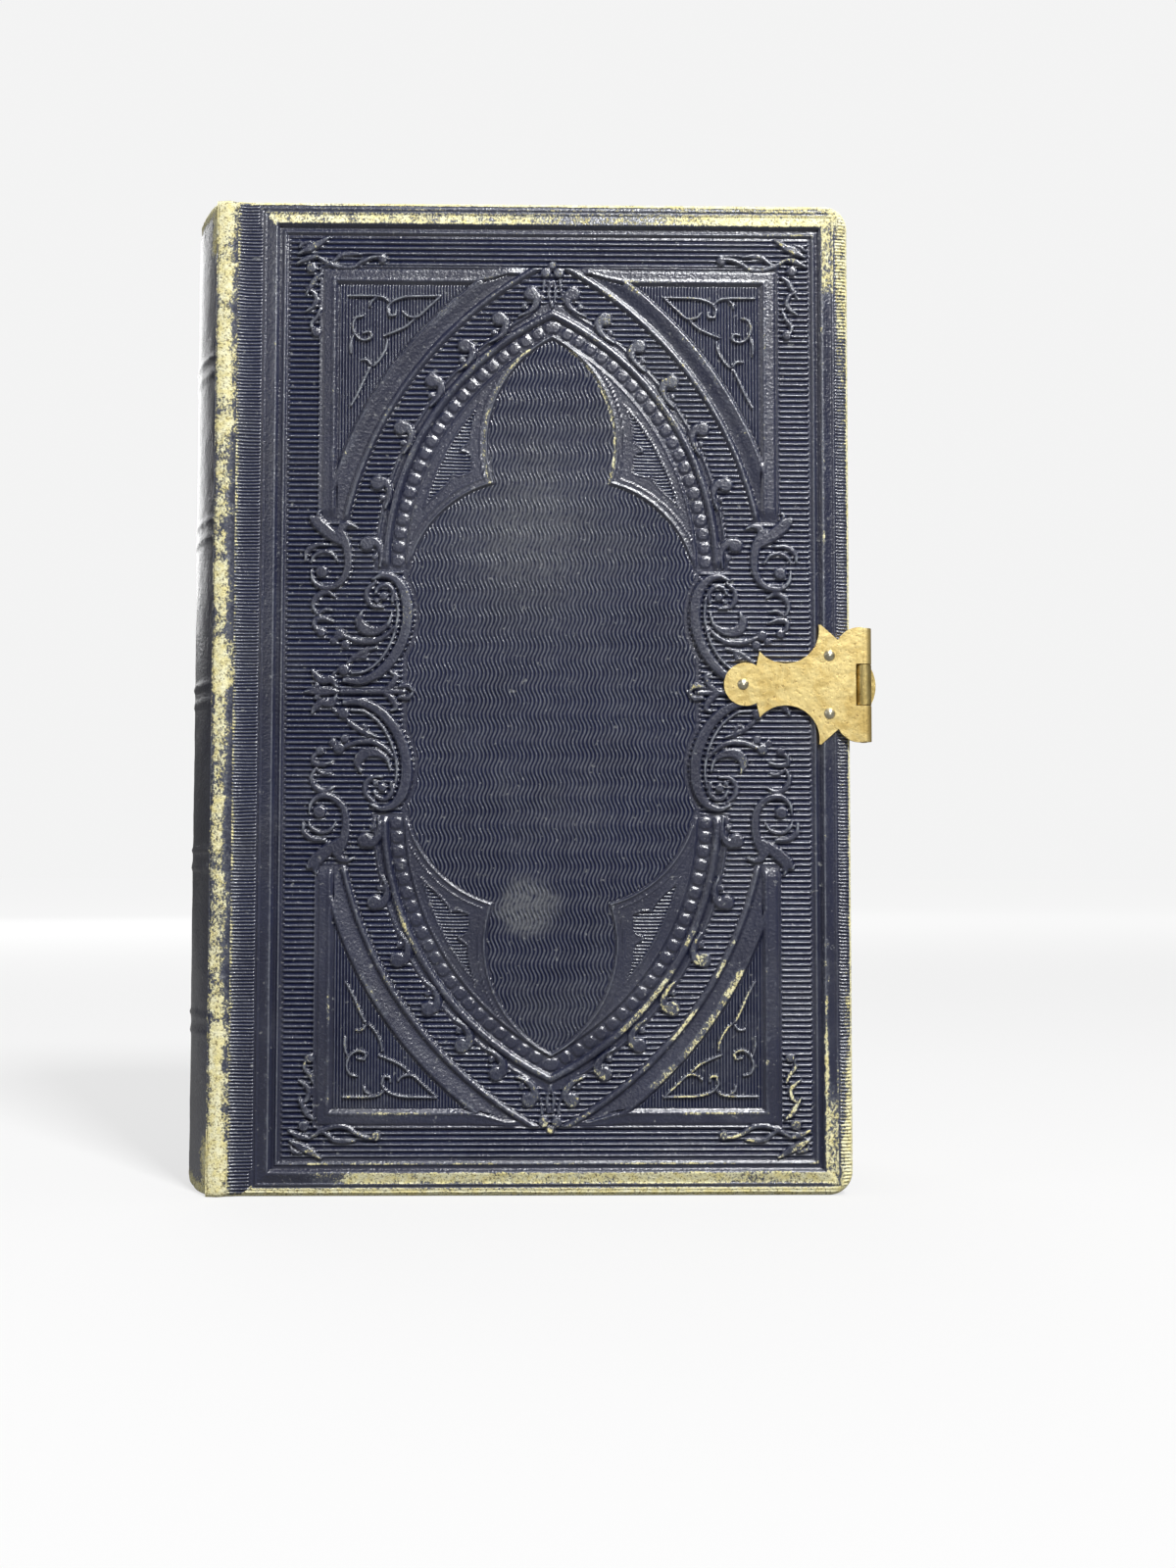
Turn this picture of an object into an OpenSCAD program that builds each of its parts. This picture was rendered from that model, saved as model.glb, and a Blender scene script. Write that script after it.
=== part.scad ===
/* [Cover] */
// Height of the boards, head to tail
book_h = 152; // [120:1:200]
// Width of a cover, from its joint to the fore-edge
cover_w = 94; // [80:1:130]
// Thickness of the closed book over the leather
book_t = 37; // [26:1:50]
// Radius of the covers' corners at the fore-edge
corner_r = 3.6; // [2:0.2:5]
// Thickness of the leather on the covers
leather_t = 0.6; // [0.4:0.05:1]
// Thickness of the millboard inside a cover
board_t = 2.3; // [1.6:0.1:3.5]
// Width of the leather turned over the inside of a board
turn_in_w = 9; // [5:0.5:12]
// Thickness of the pared leather of the turn-in
turn_in_t = 0.3; // [0.2:0.05:0.5]
// Thickness of the pasted endpaper
paper_t = 0.2; // [0.1:0.05:0.4]
// Margin of the endpaper from the edges of the cover
paper_margin = 3; // [2:0.5:5]

/* [Pages] */
// Overhang of the covers past the pages
square = 2.6; // [1.5:0.1:4]
// Depth of the hollow in the fore-edge of the pages
fore_hollow = 3.2; // [0.5:0.1:5]
// Gap between the pages and each cover
page_gap = 0.25; // [0.15:0.05:0.5]
// Height of the sewn bands at head and tail
band_h = 1.5; // [0.8:0.1:2]

/* [Spine] */
// How far the rounded spine stands back from its shoulders
spine_round = 6; // [3:0.5:9]
// Width of the shoulder between the joint and the rounded spine
shoulder_w = 2.9; // [2:0.1:4]
// Thickness of the leather on the spine
spine_leather_t = 0.8; // [0.5:0.1:1.2]
// Height of the ridge along each joint
joint_ridge_h = 0.3; // [0.1:0.05:0.3]
// Gap in the leather at each joint, where the cover turns
joint_gap = 0.2; // [0.15:0.05:0.4]
// Depth of the leather cap over each sewn band
cap_w = 2.4; // [1.5:0.1:3]
// Number of raised rules across the spine, in pairs
spine_rules = 5; // [2:1:7]

/* [Stamped frame] */
// Ribbed margin between the joint and the frame
joint_margin = 4.3; // [2:0.1:8]
// Margin between the frame and the fore-edge
fore_margin = 2.5; // [2:0.1:5]
// Margin between the frame and the head or the tail
head_margin = 2; // [1.6:0.1:5]
// Width of the frame's sloping moulding
moulding_w = 3; // [2.6:0.1:3.6]
// Width of the moulding's crest
crest_w = 1.8; // [1:0.1:2.2]
// Height of the moulding's crest above the leather
crest_h = 0.5; // [0.2:0.05:0.6]
// Width of the ribbed band inside the moulding
rib_band_w = 5.4; // [4:0.1:7]
// Width of the inner frame's bar
bar_w = 2.6; // [1.8:0.1:3.2]
// Width of the fine lines
line_w = 0.6; // [0.4:0.05:0.8]
// Height of the fine lines
line_h = 0.22; // [0.1:0.02:0.3]

/* [Stamped arches] */
// Rise of the outer arches' inner ridge over its chord
outer_arch_rise = 5.4; // [3:0.1:7]
// Rise of the beaded arches' outer ridge over its chord
bead_arch_rise = 6.6; // [5:0.1:7.5]
// Width of an arch's main ridges
ridge_w = 1.1; // [0.7:0.05:1.4]
// Height of an arch's main ridges
ridge_h = 0.45; // [0.2:0.05:0.6]
// Diameter of a bead
bead_d = 1.5; // [1:0.1:1.7]
// Height of a bead
bead_h = 0.45; // [0.2:0.05:0.6]
// Distance from bead to bead
bead_pitch = 2.15; // [1.9:0.05:3]
// Radius of the balls along the beaded arch
crocket_r = 1.1; // [0.8:0.05:1.4]
// Width of the scrolls
scroll_w = 1.4; // [0.9:0.05:1.8]

/* [Clasp] */
// Height of the clasp's middle above the book's middle
clasp_z = 1.25; // [-10:0.25:10]
// Thickness of the brass plates
plate_t = 0.65; // [0.5:0.05:0.9]
// Length of a plate on the cover, from its round end to the hinge pin
plate_l = 21.5; // [18:0.5:26]
// Half height of a plate at the fore-edge
plate_half = 8.8; // [8.2:0.1:11]
// Overhang of the hinge pin's centre past the fore-edge
pin_out = 2.1; // [1.9:0.05:3]
// Radius of the hinge pin and of the catch bar
pin_r = 0.5; // [0.4:0.05:0.7]
// Outer radius of the knuckles round the pin
knuckle_r = 1.2; // [1.1:0.05:1.5]
// Half height of the notch that takes the strap
notch_half = 3.2; // [2.6:0.1:4]
// Height of the strap's crown above its edges
crown_h = 0.85; // [0.3:0.05:1.2]
// Radius of a rivet's head
rivet_r = 0.87; // [0.7:0.01:1.1]
// Height of a rivet's head
rivet_h = 0.45; // [0.3:0.05:0.6]
// Radius of a rivet's shank
shank_r = 0.45; // [0.3:0.05:0.6]

/* [Fits] */
// Radial clearance of the strap on its hinge pin
pin_clear = 0.05; // [0.02:0.01:0.1]
// Clearance at each side of the strap in its notch
side_clear = 0.15; // [0.1:0.05:0.4]
// Clearance of the strap's hook round the catch bar
hook_clear = 0.15; // [0.1:0.05:0.3]
// Angle by which the strap stands off its catch at rest
strap_off = 3; // [2.5:0.5:8]

/* [Hidden] */
$fn = 48;

leather_color = [0.16, 0.17, 0.25];
worn_color = [0.93, 0.89, 0.66];
paper_color = [0.87, 0.81, 0.66];
board_color = [0.62, 0.52, 0.38];
brass_color = [0.80, 0.67, 0.38];
rivet_color = [0.88, 0.85, 0.76];

half_t = book_t / 2;
mid_z = book_h / 2;
frame_u = (cover_w - joint_margin - fore_margin) / 2 - moulding_w;
frame_v = book_h / 2 - head_margin - moulding_w;
fore_x = frame_u + moulding_w + fore_margin;
joint_x = fore_x - cover_w;
pocket_depth = leather_t + board_t;
cover_t = pocket_depth + turn_in_t + paper_t;

over = 1; // how far a drawing runs past a face that it cuts or joins
rule_h = 0.25;
rule_band_w = 0.9;
rule_pair_gap = 2.6;
shoulder_x = joint_x - joint_gap - shoulder_w;
crown_x = shoulder_x - spine_round;
spine_r = (pow(half_t, 2) + pow(spine_round, 2)) / (2 * spine_round);
spine_centre_x = crown_x + spine_r;
ridge_r = 1.3;

pages_half = half_t - cover_t - page_gap;
pages_h = book_h - 2 * square;
pages_fore_x = fore_x - square;
fore_r = (pow(pages_half, 2) + pow(fore_hollow, 2)) / (2 * fore_hollow);
band_r = 0.85;
band_gap = 0.07;
band_margin = 1;
band_ring_r = spine_r - spine_leather_t - band_r - band_gap;
band_half_angle = asin((pages_half - band_margin) / band_ring_r);

sink = leather_t / 3; // how deep a raised form starts inside the leather
shoulder_at = [0.26, 0.8]; // shoulders of a ridge, as shares of its width and height
wide_curl_r = 6; // from this radius a curl has more facets
wide_facets = 60;
tight_facets = 20;
boss_top = 0.5; // top of a boss over its foot
large_boss_r = 0.8;

crest_out = moulding_w - crest_w / 2 - line_w;
bar_u = frame_u - rib_band_w;
bar_v = frame_v - rib_band_w;
bar_crest = bar_w * 0.72;
tuck = 0.2; // how far an arch's end runs past the crest it meets

// Places on the stamp: across and up from its middle, as measured on the old frame, whose
// half width and half height follow
stamp_u = 40.6;
stamp_v = 71;
bar_lines_end = [2.8, 27.5];
bar_crests_end = [10, 28.5];
outer_arch_from = [2.2, 0];
outer_arch_to = [31.6, 26];
inner_ridge_ends = [10.6, 31];
inner_ridge_share = 0.56;
bead_arch_ends = [[-0.3, 58.5], [25.2, 18.8]];
bead_line_ends = [[-0.2, 55], [22, 19.6]];
bead_line_share = 0.84;
bead_ends = [[1.3, 56], [23.6, 20]];
bead_share = 0.93;
panel_lobe = [[0.5, 54], [9.1, 32.4], 4.1];
panel_body = [[9.3, 32.6], [21, 20.5], 2.6];
panel_share = 0.7;
rosette_at = [26, 16];
petal_ring_r = 1.2;
petal_r = 0.6;

// Curls: centre, radius, start angle, sweep, shares of a scroll's width and of a ridge's height
scroll_curls = [[[31.5, 11.5], 10.3, 151, 113, 1, 1.1], [[26, 16], 2.8, -110, 285, 0.6, 1],
    [[29, 13], 5.6, 178, 88, 0.7, 0.9], [[35, 19.2], 2.1, -150, 300, 0.6, 1]];
// Stems: from, to, rise, shares of a scroll's width and of a ridge's height
scroll_stems = [[[32.6, 20.4], [33.6, 26.8], 1, 1, 1], [[34, 9.4], [34, 15.2], 2, 0.6, 0.8],
    [[0.4, 60.2], [3.4, 63.2], 1.2, 0.5, 0.8]];
// Straight leaf at the foot of the outer arch
foot_leaf = [[33.8, 24.2], [36.6, 27]];
foot_leaf_share = 0.9;
// Buds: place and radius
buds = [[30.9, 7.4, 1.3], [31.8, 2.7, 1], [22.6, 1.3, 0.9], [35, 19.2, 0.8], [34.2, 12.3, 0.7],
    [36.2, 2.4, 1], [34, 1.1, 0.7], [1.1, 65.2, 0.9]];
crockets = [[2.6, 61.6], [8.2, 57.7], [13.3, 53.3], [18.2, 47.9], [22.8, 40.5], [26.4, 31.9], [28.3, 22.9]];
corner_buds = [[38.3, 68.6, 0.7], [38.2, 66.8, 0.8], [36.4, 66.5, 0.8], [34.1, 66.3, 0.6],
    [36.6, 64.5, 0.8], [36.5, 62.2, 0.7], [32.5, 67.5, 0.7], [30, 66.6, 0.6], [26.9, 67.6, 0.8],
    [36.1, 59.3, 0.9], [35.9, 56, 0.7]];

pin_x = fore_x + pin_out;
pin_y = -half_t - plate_t + knuckle_r;
catch_l = -2 * pin_y;
strap_half = notch_half - side_clear;
strap_t = knuckle_r - pin_r - hook_clear;
strap_root = 0.35; // where the strap's bar leaves its knuckle
crown_gap = knuckle_r + 0.2;
hook_from = -20; // the hook's arc round the catch bar
hook_to = 100;
crown_end = catch_l - crown_gap;
strap_reach = pin_x + (knuckle_r + crown_h) * cos(strap_off) + crown_end * sin(strap_off);
centre_x = -(crown_x - rule_h + strap_reach) / 2;

plate_unit = [plate_l / 21.5, plate_half / 8.8];
plate_side = [[5, 3.1], [5.5, 5.2], [6.3, 8.8], [14.8, 9.15], [18.8, 5.6], [21.2, 5.6]];
lobe_at = [3.3, 0];
lobe_r = 3.3;
hollow_at = [9.4, 8.35];
hollow_r = 5.15;
corner_at = [20.7, 5.2];
corner_flat = 0.3;
knuckle_inset = 0.12;
head_ball_r = (rivet_r * rivet_r + rivet_h * rivet_h) / (2 * rivet_h);
crown_r = (strap_half * strap_half + crown_h * crown_h) / (2 * crown_h);
rivet_spots = [[2.9, 0], [16.1, 4.45], [16.1, -4.45]];
stamp_gap = 0.1; // between the stamp's relief and the plate

// Moves the drawing, whose x is 0 at the middle of the stamp, so that the model is centred
module placed() {
    translate([centre_x, 0, 0]) children();
}

// A piece of the front cover, or of the back one as its mirror image
module on_side(back) {
    placed() mirror([0, back ? 1 : 0, 0]) children();
}

// Places a drawing of the front's face: x across, y up from the middle, z out of the leather
module on_face() {
    translate([0, -half_t, mid_z]) rotate([90, 0, 0]) children();
}

module four_ways() {
    for (a = [0, 1], b = [0, 1]) mirror([a, 0, 0]) mirror([0, b, 0]) children();
}

// Outline of a cover, seen from the front, drawn in by inset from all edges but the joint's
module cover_outline(inset) {
    r = corner_r - inset;
    x = joint_x;
    z = inset;
    w = cover_w - inset;
    h = book_h - 2 * inset;
    difference() {
        translate([x, z]) square([w, h]);
        if (r > 0) for (top = [0, 1]) translate([x + w, z + top * h]) mirror([0, top, 0]) difference() {
            translate([-r, -r]) square([2 * r, 2 * r]);
            translate([-r, r]) circle(r, $fn = 64);
        }
    }
}

// A cover's layer between two depths below its outer face
module cover_layer(from, to, inset) {
    translate([0, to - half_t, 0]) rotate([90, 0, 0]) linear_extrude(to - from) cover_outline(inset);
}

// Section of a raised line, which starts inside the leather
module ridge_section(w, h) {
    shoulder = [w * shoulder_at.x, h * shoulder_at.y];
    foot = w / 2 + sink * (w / 2 - shoulder.x) / shoulder.y;
    polygon([[-foot, -sink], [foot, -sink], shoulder, [0, h], [-shoulder.x, shoulder.y]]);
}

// Straight raised line from p to q
module rule(p, q, w, h) {
    d = q - p;
    translate([p.x, p.y, 0]) rotate([0, 0, atan2(d.y, d.x)])
        rotate([90, 0, 90]) linear_extrude(norm(d)) ridge_section(w, h);
}

// Radius of the arc over a chord
function bow_radius(chord, rise) = (chord * chord / 4 + rise * rise) / (2 * rise);

// Centre of the arc from p to q, which bulges to the left of that way by rise
function bow_centre(p, q, rise) =
    (p + q) / 2 - [p.y - q.y, q.x - p.x] / norm(q - p) * (bow_radius(norm(q - p), rise) - rise);

// Angle that the arc sweeps
function bow_sweep(chord, rise) = 2 * asin(chord / 2 / bow_radius(chord, rise));

// Raised arc from p to q, which bulges to the left of that way by rise
module bow(p, q, rise, w, h) {
    c = bow_centre(p, q, rise);
    chord = norm(q - p);
    curl(c, bow_radius(chord, rise), atan2(q.y - c.y, q.x - c.x), bow_sweep(chord, rise), w, h);
}

// Raised part ring round c, which sweeps an angle from a start angle
module curl(c, r, from, sweep, w, h) {
    translate([c.x, c.y, 0]) rotate([0, 0, from])
        rotate_extrude(angle = sweep, $fn = r > wide_curl_r ? wide_facets : tight_facets)
            translate([r, 0]) ridge_section(w, h);
}

// Raised round boss
module boss(c, r, h) {
    foot = r * (1 + (1 - boss_top) * sink / h);
    translate([c.x, c.y, -sink]) cylinder(h + sink, foot, r * boss_top, $fn = r > large_boss_r ? 8 : 6);
}

// A place on the stamp, as measured on the old frame and stretched with it
function spot(p) = [p.x * frame_u / stamp_u, p.y * frame_v / stamp_v];

// Rectangle of raised lines round the middle, mitred at its corners
module rule_frame(u, v, w, h) {
    for (turn = [0, 1], s = [0, 1]) rotate([0, 0, 90 * turn + 180 * s]) {
        across = turn == 0 ? u : v;
        along = turn == 0 ? v : u;
        intersection() {
            rule([across, -along - w], [across, along + w], w, h);
            translate([0, 0, -over]) linear_extrude(h + 2 * over) polygon([[across - w, w - along],
                [across + w, -w - along], [across + w, along + w], [across - w, along - w]]);
        }
    }
}

module outer_mouldings() {
    rule_frame(frame_u + moulding_w, frame_v + moulding_w, line_w, line_h);
    rule_frame(frame_u + crest_out, frame_v + crest_out, crest_w, crest_h);
    rule_frame(frame_u, frame_v, line_w, line_h);
}

// One quarter of the inner frame and of the outer arch with its two ridges
module outer_arch() {
    crest = [bar_u - bar_crest, bar_v - bar_crest];
    lines_end = spot(bar_lines_end);
    crests_end = spot(bar_crests_end);
    rule([lines_end.x, bar_v], [bar_u + line_w / 2, bar_v], line_w, line_h);
    rule([bar_u, bar_v + line_w / 2], [bar_u, lines_end.y], line_w, line_h);
    rule([crests_end.x, crest.y], [crest.x + bar_w / 4, crest.y], bar_w / 2, ridge_h);
    rule([crest.x, crest.y + bar_w / 4], [crest.x, crests_end.y], bar_w / 2, ridge_h);
    bow([spot(outer_arch_from).x, bar_v], spot(outer_arch_to), outer_arch_rise, ridge_w, ridge_h);
    ends = spot(inner_ridge_ends);
    bow([ends.x, crest.y + tuck], [crest.x + tuck, ends.y],
        outer_arch_rise * inner_ridge_share, ridge_w, ridge_h);
}

// One quarter of the beaded arch's two lines
module beaded_arch_lines() {
    bow(spot(bead_arch_ends[0]), spot(bead_arch_ends[1]), bead_arch_rise, ridge_w, ridge_h);
    bow(spot(bead_line_ends[0]), spot(bead_line_ends[1]), bead_arch_rise * bead_line_share, line_w, line_h);
}

// One quarter of the beads between those lines
module beads() {
    first = spot(bead_ends[0]);
    last = spot(bead_ends[1]);
    rise = bead_arch_rise * bead_share;
    chord = norm(last - first);
    c = bow_centre(first, last, rise);
    r = bow_radius(chord, rise);
    sweep = bow_sweep(chord, rise);
    start = atan2(last.y - c.y, last.x - c.x);
    count = floor(sweep * PI / 180 * r / bead_pitch);
    for (i = [0 : count]) {
        a = start + sweep * i / count;
        boss(c + r * [cos(a), sin(a)], bead_d / 2, bead_h);
    }
}

// One quarter of the plain panel's outline: a pointed lobe, a cusp and the round body
module panel_line() {
    for (arc = [panel_lobe, panel_body])
        bow(spot(arc[0]), spot(arc[1]), arc[2], line_w, ridge_h * panel_share);
}

// Five petals round a boss
module rosette() {
    c = spot(rosette_at);
    boss(c, petal_r, ridge_h);
    for (i = [0 : 4])
        boss(c + petal_ring_r * [cos(90 + 72 * i), sin(90 + 72 * i)], petal_r, ridge_h * shoulder_at.y);
}

// The large scroll beside the panel and the volute at the foot of the outer arch
module scrolls() {
    for (c = scroll_curls) curl(spot(c[0]), c[1], c[2], c[3], scroll_w * c[4], ridge_h * c[5]);
    for (s = scroll_stems) bow(spot(s[0]), spot(s[1]), s[2], scroll_w * s[3], ridge_h * s[4]);
    rule(spot(foot_leaf[0]), spot(foot_leaf[1]), scroll_w * foot_leaf_share, ridge_h * foot_leaf_share);
    rosette();
}

// Balls along the outside of the beaded arch, and the buds of the scrolls and the corners
module balls() {
    for (p = crockets) boss(spot(p), crocket_r, ridge_h);
    for (p = buds) boss(spot(p), p[2], ridge_h);
    for (p = corner_buds) boss(spot(p), p[2], ridge_h);
}

// The lines of the stamp, and with fine also its small leaves and beads
module stamp_relief(fine) {
    difference() {
        union() {
            outer_mouldings();
            four_ways() outer_arch();
            four_ways() beaded_arch_lines();
            four_ways() panel_line();
            if (fine) {
                four_ways() beads();
                four_ways() scrolls();
                four_ways() balls();
            }
        }
        translate([pin_x, clasp_z, -over]) linear_extrude(ridge_h + 2 * over) plate_outline(stamp_gap);
    }
}

// A point of the plate, as measured from its round end and stretched with it
function on_plate(p) = [p.x * plate_unit.x - plate_l, p.y * plate_unit.y];

// Outline of a clasp plate, whose hinge pin is at x 0
module plate_outline(grow) {
    half = [for (p = plate_side) on_plate(p)];
    translate(on_plate(lobe_at)) circle(lobe_r + grow);
    difference() {
        polygon(concat(half, [for (i = [len(half) - 1 : -1 : 0]) [half[i].x, -half[i].y]]));
        for (s = [-1, 1]) translate(on_plate([hollow_at.x, s * hollow_at.y])) circle(hollow_r - grow);
    }
    intersection() {
        for (s = [-1, 1]) translate([on_plate(corner_at).x, s * (plate_half - corner_r)]) circle(corner_r + grow);
        translate([-plate_l, -2 * plate_half]) square([plate_l - corner_flat, 4 * plate_half]);
    }
}

// Round bars along z at a pin's place on the front, over the half height h of the clasp
module pin_bar(r, h) {
    translate([pin_x, pin_y, mid_z + clasp_z - h]) cylinder(2 * h, r, r);
}

module rivet_shanks() {
    for (p = rivet_spots) rivet_shank(p, plate_t + over);
}

// A rivet's shank, from above the leather to the inside of the board
module rivet_shank(p, above) {
    at = on_plate(p);
    translate([pin_x + at.x, -half_t - above, mid_z + clasp_z + at.y]) rotate([-90, 0, 0])
        cylinder(above + pocket_depth, shank_r, shank_r, $fn = 24);
}

// Text block: pages of one solid, rounded at the back and hollow at the fore-edge
module text_block() {
    color(paper_color) placed() translate([0, 0, square]) linear_extrude(pages_h) difference() {
        union() {
            translate([joint_x - over, -pages_half])
                square([pages_fore_x - joint_x + 2 * over, 2 * pages_half]);
            spine_section(spine_leather_t, joint_gap);
        }
        translate([pages_fore_x - fore_hollow + fore_r, 0]) circle(fore_r, $fn = 96);
    }
}

// Section of the rounded spine, drawn in by inset, and by a further gap at the joints
module spine_section(inset, gap) {
    intersection() {
        translate([spine_centre_x, 0]) circle(spine_r - inset, $fn = 96);
        translate([crown_x - over, inset - half_t])
            square([joint_x - joint_gap - gap - crown_x + over, 2 * (half_t - inset)]);
    }
}

module spine_leather() {
    color(leather_color) placed() difference() {
        union() {
            linear_extrude(book_h) {
                spine_section(0, 0);
                for (s = [-1, 1])
                    translate([shoulder_x + shoulder_w / 2, s * (half_t + joint_ridge_h - ridge_r)])
                        circle(ridge_r);
            }
            for (i = [1 : spine_rules], s = [-1, 1])
                translate([0, 0, book_h * i / (spine_rules + 1) + s * rule_pair_gap / 2 - rule_band_w / 2])
                    linear_extrude(rule_band_w) spine_section(-rule_h, shoulder_w);
        }
        translate([0, 0, spine_leather_t])
            linear_extrude(book_h - 2 * spine_leather_t) spine_hollow(spine_leather_t);
        translate([0, 0, -over]) linear_extrude(book_h + 2 * over) spine_hollow(cap_w);
    }
}

// The room inside the spine's leather, open towards the pages
module spine_hollow(inset) {
    intersection() {
        translate([spine_centre_x, 0]) circle(spine_r - inset, $fn = 96);
        translate([crown_x - over, spine_leather_t - half_t])
            square([half_t + 2 * over, 2 * (half_t - spine_leather_t)]);
    }
}

// Sewn band on the pages' end, next to the spine
module sewn_band() {
    translate([spine_centre_x, 0, 0]) rotate([0, 0, 180 - band_half_angle])
        rotate_extrude(angle = 2 * band_half_angle, $fn = 96) intersection() {
            translate([band_ring_r, square - band_h + band_r]) circle(band_r, $fn = 24);
            translate([band_ring_r - 2 * band_r, square - band_h - over]) square([4 * band_r, band_h + over]);
        }
}

module head_band() {
    color(paper_color) placed() translate([0, 0, book_h]) mirror([0, 0, 1]) sewn_band();
}

module tail_band() {
    color(paper_color) placed() sewn_band();
}

module board(back) {
    color(board_color) on_side(back) difference() {
        cover_layer(leather_t, pocket_depth, leather_t);
        rivet_shanks();
    }
}

// Leather of a cover: the stamped outer face, the edges and the turn-ins
module cover_leather(back) {
    color(leather_color) on_side(back) difference() {
        union() {
            cover_layer(0, cover_t - paper_t, 0);
            on_face() stamp_relief(!back);
        }
        cover_layer(leather_t, pocket_depth, leather_t);
        cover_layer(pocket_depth, cover_t, turn_in_w);
        rivet_shanks();
    }
}

module pastedown(back) {
    color(paper_color) on_side(back) {
        cover_layer(cover_t - paper_t, cover_t, paper_margin);
        cover_layer(pocket_depth, cover_t, turn_in_w);
    }
}

// Brass plate with the two knuckles that hold the pin or the catch bar
module clasp_plate(back) {
    color(brass_color) on_side(back) difference() {
        union() {
            translate([pin_x, -half_t, mid_z + clasp_z]) rotate([90, 0, 0])
                linear_extrude(plate_t) plate_outline(0);
            pin_bar(knuckle_r, plate_half - knuckle_inset);
        }
        translate([pin_x - knuckle_r - side_clear, -half_t - knuckle_r, mid_z + clasp_z - notch_half])
            cube([3 * knuckle_r, 4 * knuckle_r, 2 * notch_half]);
        pin_bar(pin_r, 2 * plate_half);
        rivet_shanks();
    }
}

module pin(back) {
    color(brass_color) on_side(back) pin_bar(pin_r, plate_half);
}

module rivet(back, i) {
    at = on_plate(rivet_spots[i]);
    color(rivet_color) on_side(back) {
        rivet_shank(rivet_spots[i], plate_t);
        translate([pin_x + at.x, -half_t - plate_t, mid_z + clasp_z + at.y]) rotate([90, 0, 0]) rotate_extrude()
            intersection() {
                translate([0, rivet_h - head_ball_r]) circle(head_ball_r, $fn = 64);
                square([rivet_r, rivet_h]);
            }
    }
}

// Strap with its knuckle on the hinge pin, a crowned bar and the hook for the catch bar
module clasp_strap() {
    color(brass_color) placed() translate([pin_x, pin_y, mid_z + clasp_z - strap_half])
    rotate([0, 0, -strap_off]) {
        linear_extrude(2 * strap_half) {
            difference() {
                union() {
                    circle(knuckle_r);
                    translate([knuckle_r - strap_t, strap_root]) square([strap_t, catch_l - strap_root]);
                }
                circle(pin_r + pin_clear);
            }
            translate([0, catch_l]) intersection() {
                difference() {
                    circle(knuckle_r);
                    circle(pin_r + hook_clear);
                }
                hook_sector();
            }
        }
        intersection() {
            translate([0, crown_gap, 0]) cube([2 * knuckle_r + crown_h, crown_end - crown_gap, 2 * strap_half]);
            translate([knuckle_r + crown_h - crown_r, 0, strap_half]) rotate([-90, 0, 0])
                cylinder(catch_l, crown_r, crown_r, $fn = 120);
            translate([knuckle_r - strap_t / 2, 0, 0]) cube([2 * knuckle_r, catch_l, 2 * strap_half]);
        }
    }
}

// The part of the hook's ring that is there
module hook_sector() {
    reach = 3 * knuckle_r;
    polygon([[0, 0], reach * [cos(hook_from), sin(hook_from)], reach * [1, 1],
        reach * [cos(hook_to), sin(hook_to)]]);
}

text_block();
spine_leather();
head_band();
tail_band();
board(false);  // front_board
cover_leather(false);  // front_leather
pastedown(false);  // front_pastedown
clasp_plate(false);  // front_clasp_plate
pin(false);  // hinge_pin
rivet(false, 0);  // front_rivet_inner
rivet(false, 1);  // front_rivet_upper
rivet(false, 2);  // front_rivet_lower
clasp_strap();
board(true);  // back_board
cover_leather(true);  // back_leather
pastedown(true);  // back_pastedown
clasp_plate(true);  // back_clasp_plate
pin(true);  // catch_bar
rivet(true, 0);  // back_rivet_inner
rivet(true, 1);  // back_rivet_upper
rivet(true, 2);  // back_rivet_lower
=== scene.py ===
import math

import bpy
import numpy as np
from mathutils import Matrix, Vector

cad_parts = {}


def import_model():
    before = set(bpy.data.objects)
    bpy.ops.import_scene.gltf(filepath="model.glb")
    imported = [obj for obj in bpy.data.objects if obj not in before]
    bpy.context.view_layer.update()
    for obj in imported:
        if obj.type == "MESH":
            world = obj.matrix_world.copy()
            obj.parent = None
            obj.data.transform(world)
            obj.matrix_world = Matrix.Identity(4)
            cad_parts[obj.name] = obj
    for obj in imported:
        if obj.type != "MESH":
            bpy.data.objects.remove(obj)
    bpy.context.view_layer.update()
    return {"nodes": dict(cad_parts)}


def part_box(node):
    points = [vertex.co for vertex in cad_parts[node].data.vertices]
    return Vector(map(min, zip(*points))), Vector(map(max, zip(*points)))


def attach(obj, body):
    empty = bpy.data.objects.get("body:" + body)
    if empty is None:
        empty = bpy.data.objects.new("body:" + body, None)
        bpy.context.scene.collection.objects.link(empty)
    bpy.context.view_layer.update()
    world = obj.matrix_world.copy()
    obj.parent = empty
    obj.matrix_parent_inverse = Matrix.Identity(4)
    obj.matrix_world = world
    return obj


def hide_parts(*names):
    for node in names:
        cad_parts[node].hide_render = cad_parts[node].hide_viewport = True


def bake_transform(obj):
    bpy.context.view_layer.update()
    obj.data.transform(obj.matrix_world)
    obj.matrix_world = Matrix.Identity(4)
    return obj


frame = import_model()
NODES = frame["nodes"]

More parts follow.
